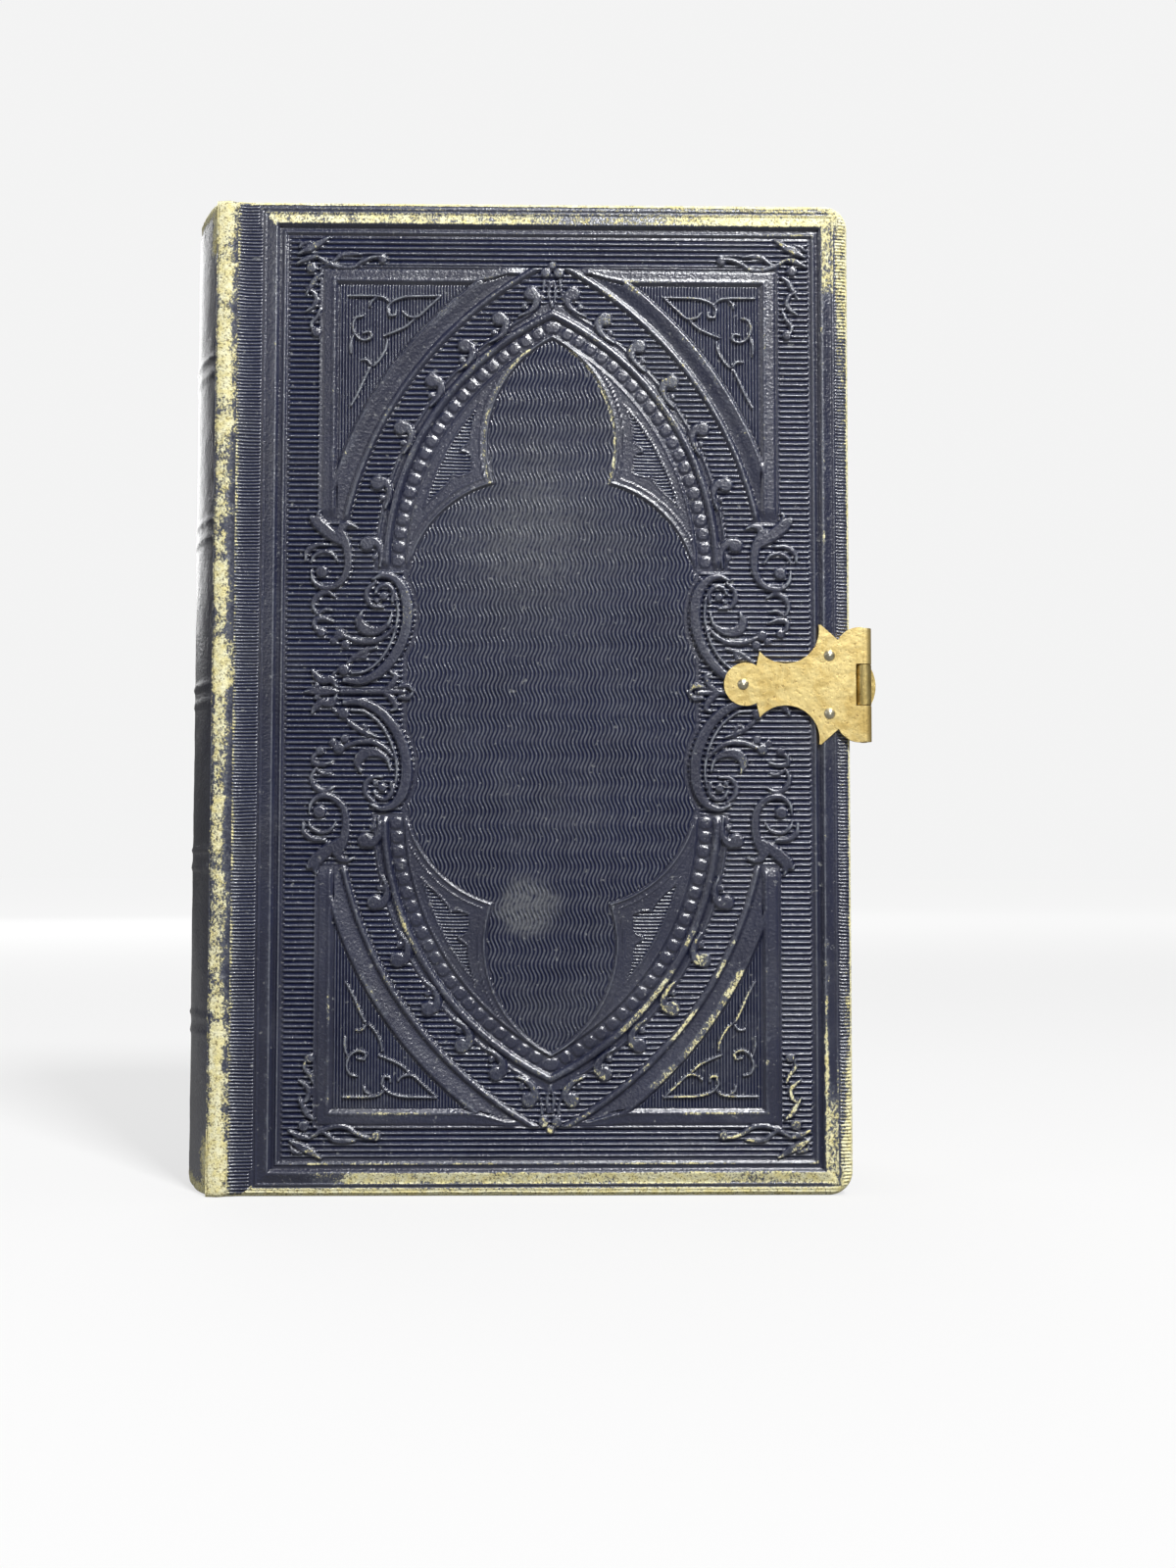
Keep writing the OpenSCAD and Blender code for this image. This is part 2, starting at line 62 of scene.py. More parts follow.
# Sizes in millimetres, in the drawing whose x is 0 at the middle of the stamped frame and z is 0 at the tail
FORE_X = 46.1
JOINT_X = -47.9
SHOULDER_X = -51.0
HALF_T = 18.5
BOOK_H = 152.0
MID_Z = 76.0
SPINE_R = 31.52
SPINE_CX = -57.0 + SPINE_R
CORNER_R = 3.6
TURN_DEPTH = 3.2
FRAME_U = 40.6
FRAME_V = 71.0
BAR_U = 35.2
BAR_V = 65.7
STAMP_SHIFT = 0.4
EDGE_R = 1.1
CORNER_X = FORE_X - CORNER_R
CORNER_Z = MID_Z - CORNER_R
FACE_GAP = 0.35
RELIEF_H = 0.55
JOINT_RIDGE_X = -49.45
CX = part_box("front_leather")[0].x * 1000 - JOINT_X

# Middles of the stamp's arcs, across and up from its own middle, and their radii
OUTER_ARCH = (-26.5, 13.8)
INNER_ARCH = (-19.0, 18.5)
BEAD_R = 42.5
BEAD_PITCH = 2.15
LOBE = (-8.84, 38.24)
LOBE_R = 18.93

# Ribs and grain of the stamp: the coarse ribs are in the mesh too, the others in the bump alone
RIB_PITCH = 0.84
RIB_H = 0.09
FINE_PITCH = 0.52
UPRIGHT_PITCH = 0.47
GRAIN_PITCH = 0.617
SWAY_PITCH = 4.2


# Mesh helpers


def smooth(a, b, x):
    t = np.clip((x - a) / (b - a), 0, 1)
    return t * t * (3 - 2 * t)


def bell(x, middle, width):
    return np.exp(-(((x - middle) / width) ** 2))


def noise(x, y, scale, seed):
    """Smooth value noise from 0 to 1."""
    n = 128
    table = np.random.default_rng(seed).random((n, n))
    x, y = np.asarray(x) / scale, np.asarray(y) / scale
    xi, yi = np.floor(x).astype(int), np.floor(y).astype(int)
    fx, fy = x - xi, y - yi
    fx, fy = fx * fx * (3 - 2 * fx), fy * fy * (3 - 2 * fy)
    xi, yi, xj, yj = xi % n, yi % n, (xi + 1) % n, (yi + 1) % n
    top = table[yi, xi] * (1 - fx) + table[yi, xj] * fx
    low = table[yj, xi] * (1 - fx) + table[yj, xj] * fx
    return top * (1 - fy) + low * fy


def fbm(x, y, scale, seed, octaves=4):
    total, size = 0, 0
    for i in range(octaves):
        total = total + noise(x, y, scale / 2**i, seed + i) / 1.6**i
        size += 1 / 1.6**i
    return total / size


def blurred(field, reach):
    """A moving mean over both directions of a grid."""
    for axis in (0, 1):
        rows = np.moveaxis(field, axis, 0)
        total = np.pad(rows, ((reach + 1, reach), (0, 0)), "edge").cumsum(axis=0)
        width = 2 * reach + 1
        field = np.moveaxis((total[width:] - total[:-width]) / width, 0, axis)
    return field


def world(x, y, z):
    """Millimetres of the drawing as metres of the row frame, as rows of points."""
    x, y, z = np.broadcast_arrays(x, y, z)
    return np.stack([(x.ravel() + CX) / 1000, y.ravel() / 1000, z.ravel() / 1000], 1)


def grid_faces(rows, cols, flip):
    i = np.arange(rows - 1)[:, None] * cols
    j = np.arange(cols - 1)[None, :]
    quad = [i + j, i + j + 1, i + cols + j + 1, i + cols + j]
    if flip:
        quad = quad[::-1]
    return np.stack([q.ravel() for q in quad], 1)


def make_mesh(name, points, faces, body, look, attributes=(), uv=None, normals=None):
    """A piece from arrays of points and four-sided faces, which rides on a body."""
    mesh = bpy.data.meshes.new(name)
    mesh.vertices.add(len(points))
    mesh.vertices.foreach_set("co", np.ascontiguousarray(points, np.float32).ravel())
    mesh.loops.add(faces.size)
    mesh.loops.foreach_set("vertex_index", np.ascontiguousarray(faces, np.int32).ravel())
    mesh.polygons.add(len(faces))
    mesh.polygons.foreach_set("loop_start", np.arange(0, faces.size, 4, dtype=np.int32))
    mesh.update(calc_edges=True)
    mesh.polygons.foreach_set("use_smooth", np.ones(len(faces), bool))
    for key, values in dict(attributes).items():
        layer = mesh.attributes.new(key, "FLOAT", "POINT")
        spread = np.broadcast_to(values, len(points))
        layer.data.foreach_set("value", np.ascontiguousarray(spread, np.float32))
    if uv is not None:
        layer = mesh.uv_layers.new(name="OFBake")
        layer.data.foreach_set("uv", np.ascontiguousarray(uv[faces.ravel()], np.float32).ravel())
    if normals is not None:
        mesh.normals_split_custom_set_from_vertices(np.ascontiguousarray(normals, np.float32))
    mesh.materials.append(look)
    piece = bpy.data.objects.new(name, mesh)
    bpy.context.scene.collection.objects.link(piece)
    if body:
        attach(piece, body)
    return piece


# Materials


class Graph:
    """Short names for the nodes of a material."""

    def __init__(self, tree):
        self.tree = tree

    def put(self, socket, value):
        if isinstance(value, bpy.types.NodeSocket):
            self.tree.links.new(value, socket)
        elif isinstance(value, (tuple, list)) and len(value) == 3 and len(socket.default_value) == 4:
            socket.default_value = (*value, 1)
        else:
            socket.default_value = value

    def math(self, operation, a, b=None, c=None):
        node = self.tree.nodes.new("ShaderNodeMath")
        node.operation = operation
        for socket, value in zip(node.inputs, (a, b, c)):
            if value is not None:
                self.put(socket, value)
        return node.outputs[0]

    def ramp(self, value, a, b, low=0.0, high=1.0):
        node = self.tree.nodes.new("ShaderNodeMapRange")
        node.interpolation_type = "SMOOTHSTEP"
        for key, v in zip(("Value", "From Min", "From Max", "To Min", "To Max"), (value, a, b, low, high)):
            self.put(node.inputs[key], v)
        return node.outputs[0]

    def mix(self, factor, a, b):
        node = self.tree.nodes.new("ShaderNodeMix")
        node.data_type = "RGBA"
        self.put(node.inputs[0], factor)
        self.put(node.inputs[6], a)
        self.put(node.inputs[7], b)
        return node.outputs[2]

    def attribute(self, name):
        node = self.tree.nodes.new("ShaderNodeAttribute")
        node.attribute_name = name
        return node.outputs["Fac"]

    def place(self, scale=(1, 1, 1)):
        """Place on the object in millimetres, stretched by scale."""
        coords = self.tree.nodes.new("ShaderNodeTexCoord")
        node = self.tree.nodes.new("ShaderNodeVectorMath")
        node.operation = "MULTIPLY"
        self.put(node.inputs[0], coords.outputs["Object"])
        node.inputs[1].default_value = tuple(1000 * s for s in scale)
        return node.outputs[0]

    def axis(self, vector, index):
        node = self.tree.nodes.new("ShaderNodeSeparateXYZ")
        self.put(node.inputs[0], vector)
        return node.outputs[index]

    def facing(self, index):
        """How far the surface faces along an axis of the object, from 0 to 1."""
        coords = self.tree.nodes.new("ShaderNodeTexCoord")
        return self.math("ABSOLUTE", self.axis(coords.outputs["Normal"], index))

    def noise(self, vector, scale, detail=3.0, rough=0.55, distortion=0.0):
        node = self.tree.nodes.new("ShaderNodeTexNoise")
        self.put(node.inputs["Vector"], vector)
        node.inputs["Scale"].default_value = scale
        node.inputs["Detail"].default_value = detail
        node.inputs["Roughness"].default_value = rough
        node.inputs["Distortion"].default_value = distortion
        return node.outputs["Fac"]

    def cells(self, vector, scale):
        node = self.tree.nodes.new("ShaderNodeTexVoronoi")
        self.put(node.inputs["Vector"], vector)
        node.inputs["Scale"].default_value = scale
        return node.outputs["Distance"]

    def bump(self, height, distance):
        node = self.tree.nodes.new("ShaderNodeBump")
        node.inputs["Distance"].default_value = distance
        self.put(node.inputs["Height"], height)
        return node.outputs[0]

    def wave(self, value, pitch):
        """A smooth wave from 0 to 1 with that pitch in millimetres."""
        sine = self.math("SINE", self.math("MULTIPLY", value, 2 * math.pi / pitch))
        return self.math("MULTIPLY_ADD", sine, 0.5, 0.5)


def material(name):
    made = bpy.data.materials.new(name)
    made.use_nodes = True
    return made, Graph(made.node_tree), made.node_tree.nodes["Principled BSDF"]


def leather_material():
    """Dyed leather with the stamp's fine ribs, rubbed down to its pale core where the wear attribute says;
    painted highlight lightens the crests of the rib lines and of the raised work, and painted shade darkens
    its hollows.
    """
    made, g, shader = material("stamped_leather")
    mm = g.place()
    x, z = g.axis(mm, 0), g.axis(mm, 2)
    z = g.math("ADD", z, g.math("MULTIPLY_ADD", g.noise(mm, 0.12, 1), 0.5, -0.25))
    coarse = g.math("MULTIPLY", g.wave(g.axis(mm, 2), RIB_PITCH), g.attribute("ribs"))
    fine = g.math("MULTIPLY", g.wave(z, FINE_PITCH), g.attribute("fine"))
    upright = g.math("MULTIPLY", g.wave(x, UPRIGHT_PITCH), g.attribute("upright"))
    sway = g.math("MULTIPLY_ADD", g.wave(z, SWAY_PITCH), 0.66, x)
    wavy = g.math("MULTIPLY", g.wave(sway, GRAIN_PITCH), g.attribute("wavy"))
    grain = g.noise(mm, 2.6, 4, 0.6)
    pores = g.cells(mm, 1.9)
    lines = g.math("ADD", g.math("ADD", coarse, fine), g.math("ADD", upright, wavy))
    height = g.math("ADD", lines, g.math("MULTIPLY_ADD", grain, 0.5, g.math("MULTIPLY", pores, 0.25)))
    wear = g.attribute("wear")
    stand = g.math("MULTIPLY_ADD", g.attribute("stand"), 2.0, -1.0)
    patchy = g.noise(mm, 0.7, 5, 0.62, 0.4)
    fibres = g.noise(g.place((1, 1, 0.7)), 3.0, 5, 0.7)
    crests = g.math("MULTIPLY_ADD", height, 0.16, g.math("MULTIPLY_ADD", stand, 0.12, -0.08))
    ragged = g.math("ADD", g.math("MULTIPLY_ADD", patchy, 0.56, -0.28), g.math("SUBTRACT", fibres, 0.5))
    level = g.math("ADD", g.math("ADD", wear, crests), ragged)
    bare = g.ramp(level, 0.47, 0.58)
    rubbed = g.ramp(level, 0.2, 0.5)
    # the dyed colour, into which painted highlight and painted shade are mixed below, along with dust and
    # scuffs
    dye_and_painted_light = g.mix(g.ramp(g.noise(mm, 0.09, 3), 0.35, 0.65), (0.005, 0.0075, 0.031), (0.0095, 0.013, 0.042))
    # painted highlight: the crests of the rib lines are lightened to blue-grey in patches
    painted_rib_highlight = g.ramp(lines, 0.5, 0.95)
    dye_and_painted_light = g.mix(g.math("MULTIPLY", painted_rib_highlight, g.ramp(patchy, 0.35, 0.65, 0.3, 0.75)), dye_and_painted_light, (0.115, 0.127, 0.17))
    # worn crests, and a painted highlight: where the stand attribute is high the thin crests are lightened to
    # blue-grey
    rubbed = g.math("MAXIMUM", g.math("MULTIPLY", rubbed, 0.7), g.ramp(stand, 0.3, 0.9, 0, 0.35))
    dye_and_painted_light = g.mix(rubbed, dye_and_painted_light, (0.11, 0.122, 0.16))
    # painted highlight: the highest crests are lightened to a pale blue-grey in patches
    painted_crest_highlight = g.math("MULTIPLY", g.ramp(stand, 0.45, 0.95), g.ramp(patchy, 0.3, 0.62, 0.15, 0.6))
    dye_and_painted_light = g.mix(painted_crest_highlight, dye_and_painted_light, (0.34, 0.365, 0.4))
    # painted shade: places lower than their surroundings are darkened towards black
    dye_and_painted_light = g.mix(g.ramp(stand, -0.2, -0.8, 0, 0.5), dye_and_painted_light, (0.0015, 0.002, 0.006))
    dust = g.math("MULTIPLY", g.ramp(g.noise(mm, 1.15, 2), 0.67, 0.75), 0.45)
    dye_and_painted_light = g.mix(dust, dye_and_painted_light, (0.37, 0.38, 0.38))
    worn_dull = g.math("MULTIPLY", g.attribute("scuff"), g.ramp(g.noise(mm, 1.3, 4, 0.7), 0.3, 0.6))
    dye_and_painted_light = g.mix(worn_dull, dye_and_painted_light, (0.15, 0.157, 0.17))
    pale = g.mix(g.ramp(g.noise(mm, 0.8, 4), 0.3, 0.7), (0.86, 0.77, 0.37), (0.95, 0.92, 0.64))
    pale = g.mix(g.ramp(g.noise(mm, 3.0, 4, 0.65), 0.53, 0.63, 0, 0.85), pale, (0.2, 0.155, 0.075))
    g.put(shader.inputs["Base Color"], g.mix(bare, dye_and_painted_light, pale))
    rough = g.math("MULTIPLY_ADD", grain, 0.13, 0.24)
    rough = g.math("ADD", rough, g.math("MULTIPLY", g.attribute("scuff"), 0.15))
    g.put(shader.inputs["Roughness"], g.math("MAXIMUM", rough, g.math("MULTIPLY", bare, 0.9)))
    ruled = g.math("ADD", g.math("ADD", g.attribute("ribs"), g.attribute("fine")),
        g.math("ADD", g.attribute("upright"), g.attribute("wavy")))
    hidden = g.math("MULTIPLY", ruled, g.ramp(lines, 0.55, 0.1))
    hidden = g.math("MAXIMUM", hidden, g.ramp(stand, -0.2, -0.9))
    matt = g.math("MAXIMUM", hidden, bare)
    g.put(shader.inputs["Specular IOR Level"], g.math("MULTIPLY_ADD", matt, -0.8, 1.0))
    waxed = g.math("MULTIPLY_ADD", hidden, -0.9, 0.9)
    g.put(shader.inputs["Coat Weight"], g.math("MULTIPLY", g.math("SUBTRACT", 1.0, bare), waxed))
    shader.inputs["Coat Roughness"].default_value = 0.22
    relief = g.math("MULTIPLY_ADD", bare, g.math("MULTIPLY", fibres, 1.1), height)
    normal = g.bump(relief, 0.00015)
    g.put(shader.inputs["Normal"], normal)
    g.put(shader.inputs["Coat Normal"], normal)
    return made


def paper_material(name, light, dark, edges):
    """Aged paper; with edges, the cut leaves of the block show as fine layers across y."""
    made, g, shader = material(name)
    mm = g.place()
    stain = g.ramp(g.noise(mm, 0.035, 4, 0.6), 0.35, 0.7)
    color = g.mix(stain, light, dark)
    fleck = g.ramp(g.noise(mm, 0.5, 3), 0.66, 0.74)
    color = g.mix(g.math("MULTIPLY", fleck, 0.4), color, (0.24, 0.15, 0.07))
    height = g.noise(mm, 1.7, 3)
    if edges:
        cut = g.ramp(g.facing(1), 0.95, 0.8)
        leaves = g.noise(g.place((0.012, 1, 0.012)), 7.5, 2, 0.8)
        folds = g.noise(g.place((0.006, 1, 0.006)), 0.55, 2)
        color = g.mix(g.math("MULTIPLY", cut, g.ramp(leaves, 0.4, 0.62, 0, 0.62)), color, (0.17, 0.115, 0.05))
        color = g.mix(g.math("MULTIPLY", cut, g.ramp(folds, 0.45, 0.7, 0, 0.4)), color, (0.3, 0.2, 0.1))
        layers = g.math("ADD", g.math("MULTIPLY", leaves, 2.2), folds)
        height = g.math("ADD", g.math("MULTIPLY", cut, layers), height)
    g.put(shader.inputs["Base Color"], color)
    shader.inputs["Roughness"].default_value = 0.85
    g.put(shader.inputs["Normal"], g.bump(height, 0.00012))
    return made


def board_material():
    made, g, shader = material("millboard")
    layers = g.noise(g.place((0.2, 4, 0.2)), 1.2, 4)
    color = g.mix(g.ramp(layers, 0.35, 0.65), (0.2, 0.135, 0.07), (0.36, 0.26, 0.15))
    g.put(shader.inputs["Base Color"], color)
    g.put(shader.inputs["Normal"], g.bump(layers, 0.0002))
    shader.inputs["Roughness"].default_value = 0.9
    return made


def band_material():
    """Sewn bands: stripes of two threads across the arc."""
    made, g, shader = material("sewn_band")
    mm = g.place()
    y = g.axis(mm, 1)
    stripe = g.ramp(g.math("PINGPONG", y, 0.9), 0.4, 0.5)
    thread = g.wave(y, 0.3)
    color = g.mix(stripe, (0.5, 0.4, 0.22), (0.16, 0.07, 0.05))
    soil = g.ramp(g.noise(mm, 1.2, 3), 0.4, 0.8, 0, 0.5)
    g.put(shader.inputs["Base Color"], g.mix(soil, color, (0.15, 0.12, 0.08)))
    g.put(shader.inputs["Normal"], g.bump(thread, 0.0001))
    shader.inputs["Roughness"].default_value = 0.8
    return made


def brass_material(name, light, deep, tarnish, rough, scratches=1.0):
    made, g, shader = material(name)
    mm = g.place()
    cloud = g.ramp(g.noise(mm, 0.28, 5, 0.62, 0.6), 0.36, 0.64)
    spots = g.ramp(g.noise(mm, 1.1, 5, 0.72), 0.53, 0.7)
    color = g.mix(cloud, light, deep)
    color = g.mix(g.math("MULTIPLY", spots, 0.75), color, tarnish)
    g.put(shader.inputs["Base Color"], color)
    shader.inputs["Metallic"].default_value = 1.0
    fine = g.noise(g.place((1, 1, 0.12)), 5.0, 3, 0.6)
    dull = g.math("MULTIPLY_ADD", spots, 0.12, g.math("MULTIPLY", fine, 0.1))
    g.put(shader.inputs["Roughness"], g.math("ADD", g.math("MULTIPLY_ADD", cloud, 0.08, rough), dull))
    dents = g.math("MULTIPLY_ADD", g.noise(mm, 0.7, 3), 1.6, g.math("MULTIPLY", fine, 0.25 * scratches))
    g.put(shader.inputs["Normal"], g.bump(g.math("SUBTRACT", dents, g.math("MULTIPLY", spots, 0.3)), 0.00006))
    return made


LEATHER = leather_material()
PAGES = paper_material("page_edges", (0.62, 0.52, 0.33), (0.46, 0.35, 0.19), True)
ENDPAPER = paper_material("endpaper", (0.7, 0.64, 0.48), (0.52, 0.43, 0.27), False)
BOARD = board_material()
BAND = band_material()
PLATE = brass_material("aged_brass", (0.95, 0.77, 0.35), (0.66, 0.49, 0.18), (0.27, 0.17, 0.065), 0.42)
HINGE = brass_material("darker_brass", (0.85, 0.67, 0.28), (0.56, 0.42, 0.15), (0.22, 0.155, 0.065), 0.34)
RIVET = brass_material("rubbed_rivet", (0.72, 0.67, 0.52), (0.5, 0.46, 0.33), (0.2, 0.15, 0.08), 0.3, 0.4)


# The stamped relief


def hump(distance, width, height):
    """A rounded ridge over a distance field."""
    return height * np.clip(1 - (2 * distance / width) ** 2, 0, 1) ** 0.75


def plateau(distance, width, height, flat):
    """A raised band with a nearly flat top over a distance field."""
    share = 2 * distance / width
    return height * smooth(1.0, flat, share) * (1 - 0.15 * np.minimum(share, 1) ** 2)


def smooth_curve(points, steps):
    """A Catmull-Rom curve through the points."""
    ends = np.vstack([2 * points[0] - points[1], points, 2 * points[-1] - points[-2]])
    t = np.linspace(0, 1, steps, endpoint=False)[:, None]
    curve = []
    for a, b, c, d in zip(ends[:-3], ends[1:-2], ends[2:-1], ends[3:]):
        turn = a - 2.5 * b + 2 * c - d / 2
        twist = 1.5 * (b - c) + (d - a) / 2
        curve.append(b + t * (c - a) / 2 + t**2 * turn + t**3 * twist)
    return np.vstack(curve + [points[-1:]])


def away_from(u, v, place):
    return np.hypot(u - place[0], v - place[1])


def inside_outline(u, v, outline):
    """Which places are inside an outline of straight stretches."""
    inside = np.zeros(u.shape, bool)
    for (au, av), (bu, bv) in zip(outline, outline[1:] + outline[:1]):
        if av != bv:
            inside ^= ((av > v) != (bv > v)) & (u < (bu - au) * (v - av) / (bv - av) + au)
    return inside


class Stamp:
    """The blind stamp's height and the masks of its fine ribs, at places from the cover's middle.

    The stamp is the same in its four quarters, so u and v are distances across and up from its middle.
    """

    def __init__(self, x, z, rich):
        self.frame_u, self.v = np.abs(x), np.abs(z)
        self.u = np.abs(x - STAMP_SHIFT)
        self.h = np.zeros(x.shape)
        self.frame()
        self.arches()
        self.panel_outline()
        if rich:
            self.gap_field()
            self.side_scroll()
            self.foot_of_arch()
            self.middle_leaves()
            self.crockets()
            self.corner_spray()
            self.tendrils()

    def raise_to(self, shape):
        self.h = np.maximum(self.h, shape)

    def stroke(self, points, widths, h, groove=0.0):
        """A raised stem or leaf along a smooth curve through the points, with widths spread along it."""
        p = smooth_curve(np.array(points, float), 7)
        w = np.interp(np.linspace(0, 1, len(p)), np.linspace(0, 1, len(widths)), widths)
        pad = w.max()
        low, high = p.min(axis=0) - pad, p.max(axis=0) + pad
        near = (self.u > low[0]) & (self.u < high[0]) & (self.v > low[1]) & (self.v < high[1])
        u, v = self.u[near], self.v[near]
        best = np.zeros(u.shape)
        for a, b, wa, wb in zip(p[:-1], p[1:], w[:-1], w[1:]):
            along = b - a
            t = np.clip(((u - a[0]) * along[0] + (v - a[1]) * along[1]) / max(along @ along, 1e-9), 0, 1)
            d = np.hypot(u - a[0] - t * along[0], v - a[1] - t * along[1])
            width = wa + (wb - wa) * t
            rise = h * np.minimum(1, width / 0.6) ** 0.6
            shape = plateau(d, width + 0.1, rise, np.clip(0.18 + 0.24 * width, 0.3, 0.62))
            if groove:
                shape = shape - groove * np.exp(-((d / (0.1 * width + 0.05)) ** 2)) * (width > 0.9)
            best = np.maximum(best, shape)
        self.h[near] = np.maximum(self.h[near], best)

    def ball(self, u, v, r, h):
        self.raise_to(plateau(away_from(self.u, self.v, (u, v)), 2 * r + 0.1, h, 0.62))

    def frame(self):
        u, v = self.frame_u, self.v
        s = np.maximum(u - FRAME_U, v - FRAME_V)
        self.outer = s
        moulding = np.where(s < 1.4, smooth(0.75, 1.4, s), (1 - np.clip((s - 1.4) / 1.8, 0, 1)) ** 1.2)
        self.h = RELIEF_H * moulding * (s > 0) * (s < 3.2)
        self.raise_to(hump(np.abs(s - 0.05), 0.6, 0.3))
        self.raise_to(hump(np.abs(s - 3.15), 0.45, 0.26))
        self.beside = u - FRAME_U > v - FRAME_V + 3
        self.raise_to(hump(np.abs(s - 3.75), 0.4, 0.2) * ~self.beside)
        self.h = self.h - 0.14 * bell(s, 0.58, 0.22) - 0.14 * bell(s, 3.45, 0.16)
        t = np.maximum(u - BAR_U, v - BAR_V)
        self.t = t
        across = u - BAR_U > v - BAR_V
        reach = np.where(across, smooth(26.2, 28.2, v), smooth(3.0, 6.5, u))
        # over the arches the bar narrows in a curve
        depth = 2.8 - 1.7 * np.clip((12.4 - u) / 5.9, 0, 1) ** 1.5 * ~across
        slope = np.clip(-t / depth, 0, 1)
        bar = np.interp(slope, (0, 0.12, 0.24, 0.62, 0.76, 0.82, 1), (0.1, 0.15, 0.66, 0.7, 1.0, 0.9, 0))
        self.raise_to(0.46 * bar * (t < 0) * (t > -depth) * reach)
        self.raise_to(hump(np.abs(t + 0.05), 0.45, 0.28) * reach)
        self.depth = depth

    def arches(self):
        u, v = self.u, self.v
        r = away_from(u, v, OUTER_ARCH)
        span = smooth(25.5, 27.5, v) * (self.t < -0.1)
        under_bar = self.t < -self.depth
        hollow = (r > 59.3) & ((r < 62.4) | ((self.frame_u < 12.6) & under_bar)) & (self.t < -0.4)
        slope = smooth(60.0, 62.3, r)
        self.h = np.where(hollow & (span > 0.5) & under_bar, 0.44 * slope, self.h)
        self.hollow = hollow & (span > 0.5)
        self.raise_to(hump(np.abs(r - 59.3), 1.1, 0.46) * span)
        self.raise_to(hump(np.abs(r - 62.35), 1.0, 0.5) * span * (v > 31) * (self.t < -2.2))
        self.outer_arch = r
        q = away_from(u, v, INNER_ARCH)
        self.inner_arch = np.where(v > INNER_ARCH[1], q, u - INNER_ARCH[0])
        ends = smooth(18.6, 20, v)
        self.raise_to(hump(np.abs(q - 44.25), 1.3, 0.52) * ends)
        self.raise_to(hump(np.abs(q - 45.75), 0.5, 0.24) * ends * (u > 3))
        self.raise_to(hump(np.abs(q - 41.0), 0.6, 0.3) * ends)
        angle = np.arctan2(v - INNER_ARCH[1], u - INNER_ARCH[0])
        pitch, first, last = BEAD_PITCH / BEAD_R, 0.035, 1.10
        nearest = np.clip(np.round((angle - first) / pitch), 0, round((last - first) / pitch)) * pitch + first
        along = (angle - nearest) * BEAD_R
        # a bead is a circle drawn out towards a square
        d = (np.abs(along) ** 2.6 + np.abs(q - BEAD_R) ** 2.6) ** (1 / 2.6)
        self.raise_to(plateau(d, 1.95, 0.21, 0.72) * (q < 43.7) * (np.abs(along) < 1.1))

    def panel_outline(self):
        u, v = self.u, self.v
        q = away_from(u, v, INNER_ARCH)
        lobe = away_from(u, v, LOBE) - LOBE_R
        body = away_from(u, v, (4.45, 14.9)) - 17.95
        middle = np.maximum(u - 22.4, v - 18.5)
        scroll = 10.9 - away_from(u, v, (31.5, 11.5))
        field = np.minimum(np.maximum(lobe, 30 - v), np.minimum(np.maximum(body, 15 - v), middle))
        self.panel = np.maximum(field, np.where(v < 22, scroll, -9))
        edge = smooth(19, 21, v)
        border = (self.panel > 0) & (q < 40.9) & (v > 19)
        self.h = np.where(border, np.maximum(self.h, 0.2), self.h)
        self.raise_to(hump(np.abs(self.panel), 0.6, 0.38) * edge * (q < 41.3))
        self.raise_to(hump(np.abs(self.panel - 0.95), 0.42, 0.3) * edge * (q < 40.8))

    def gap_field(self):
        """The small ribbed field between the lobe, the body and the arch, sunk under a plain border."""
        shape = [(11.0, 44.4), (11.9, 42.4), (12.35, 40), (12.5, 38.4), (13.9, 37.3), (12.9, 36.8),
            (12.3, 35.8), (12.35, 33.7), (14, 33.15), (15.2, 33.3), (15.6, 32.4), (17.2, 30.6), (18.9, 29.1),
            (19.6, 28.2)]
        r, (u, v) = 39.7, INNER_ARCH
        arch = [(u + r * math.cos(a), v + r * math.sin(a)) for a in np.linspace(0.26, 0.71, 8)]
        self.gap = inside_outline(self.u, self.v, shape + arch)
        self.h = np.where(self.gap, 0.0, self.h)
        self.stroke(shape[:4], (0.4, 0.5), 0.3)
        self.stroke(shape[3:6], (0.4, 0.6, 0.4), 0.34)
        self.stroke(shape[5:8], (0.4, 0.4), 0.28)
        self.stroke(shape[7:10], (0.4, 0.55, 0.4), 0.32)
        self.stroke(shape[9:], (0.5, 0.5), 0.32)
        self.stroke(arch, (0.5, 0.5), 0.32)

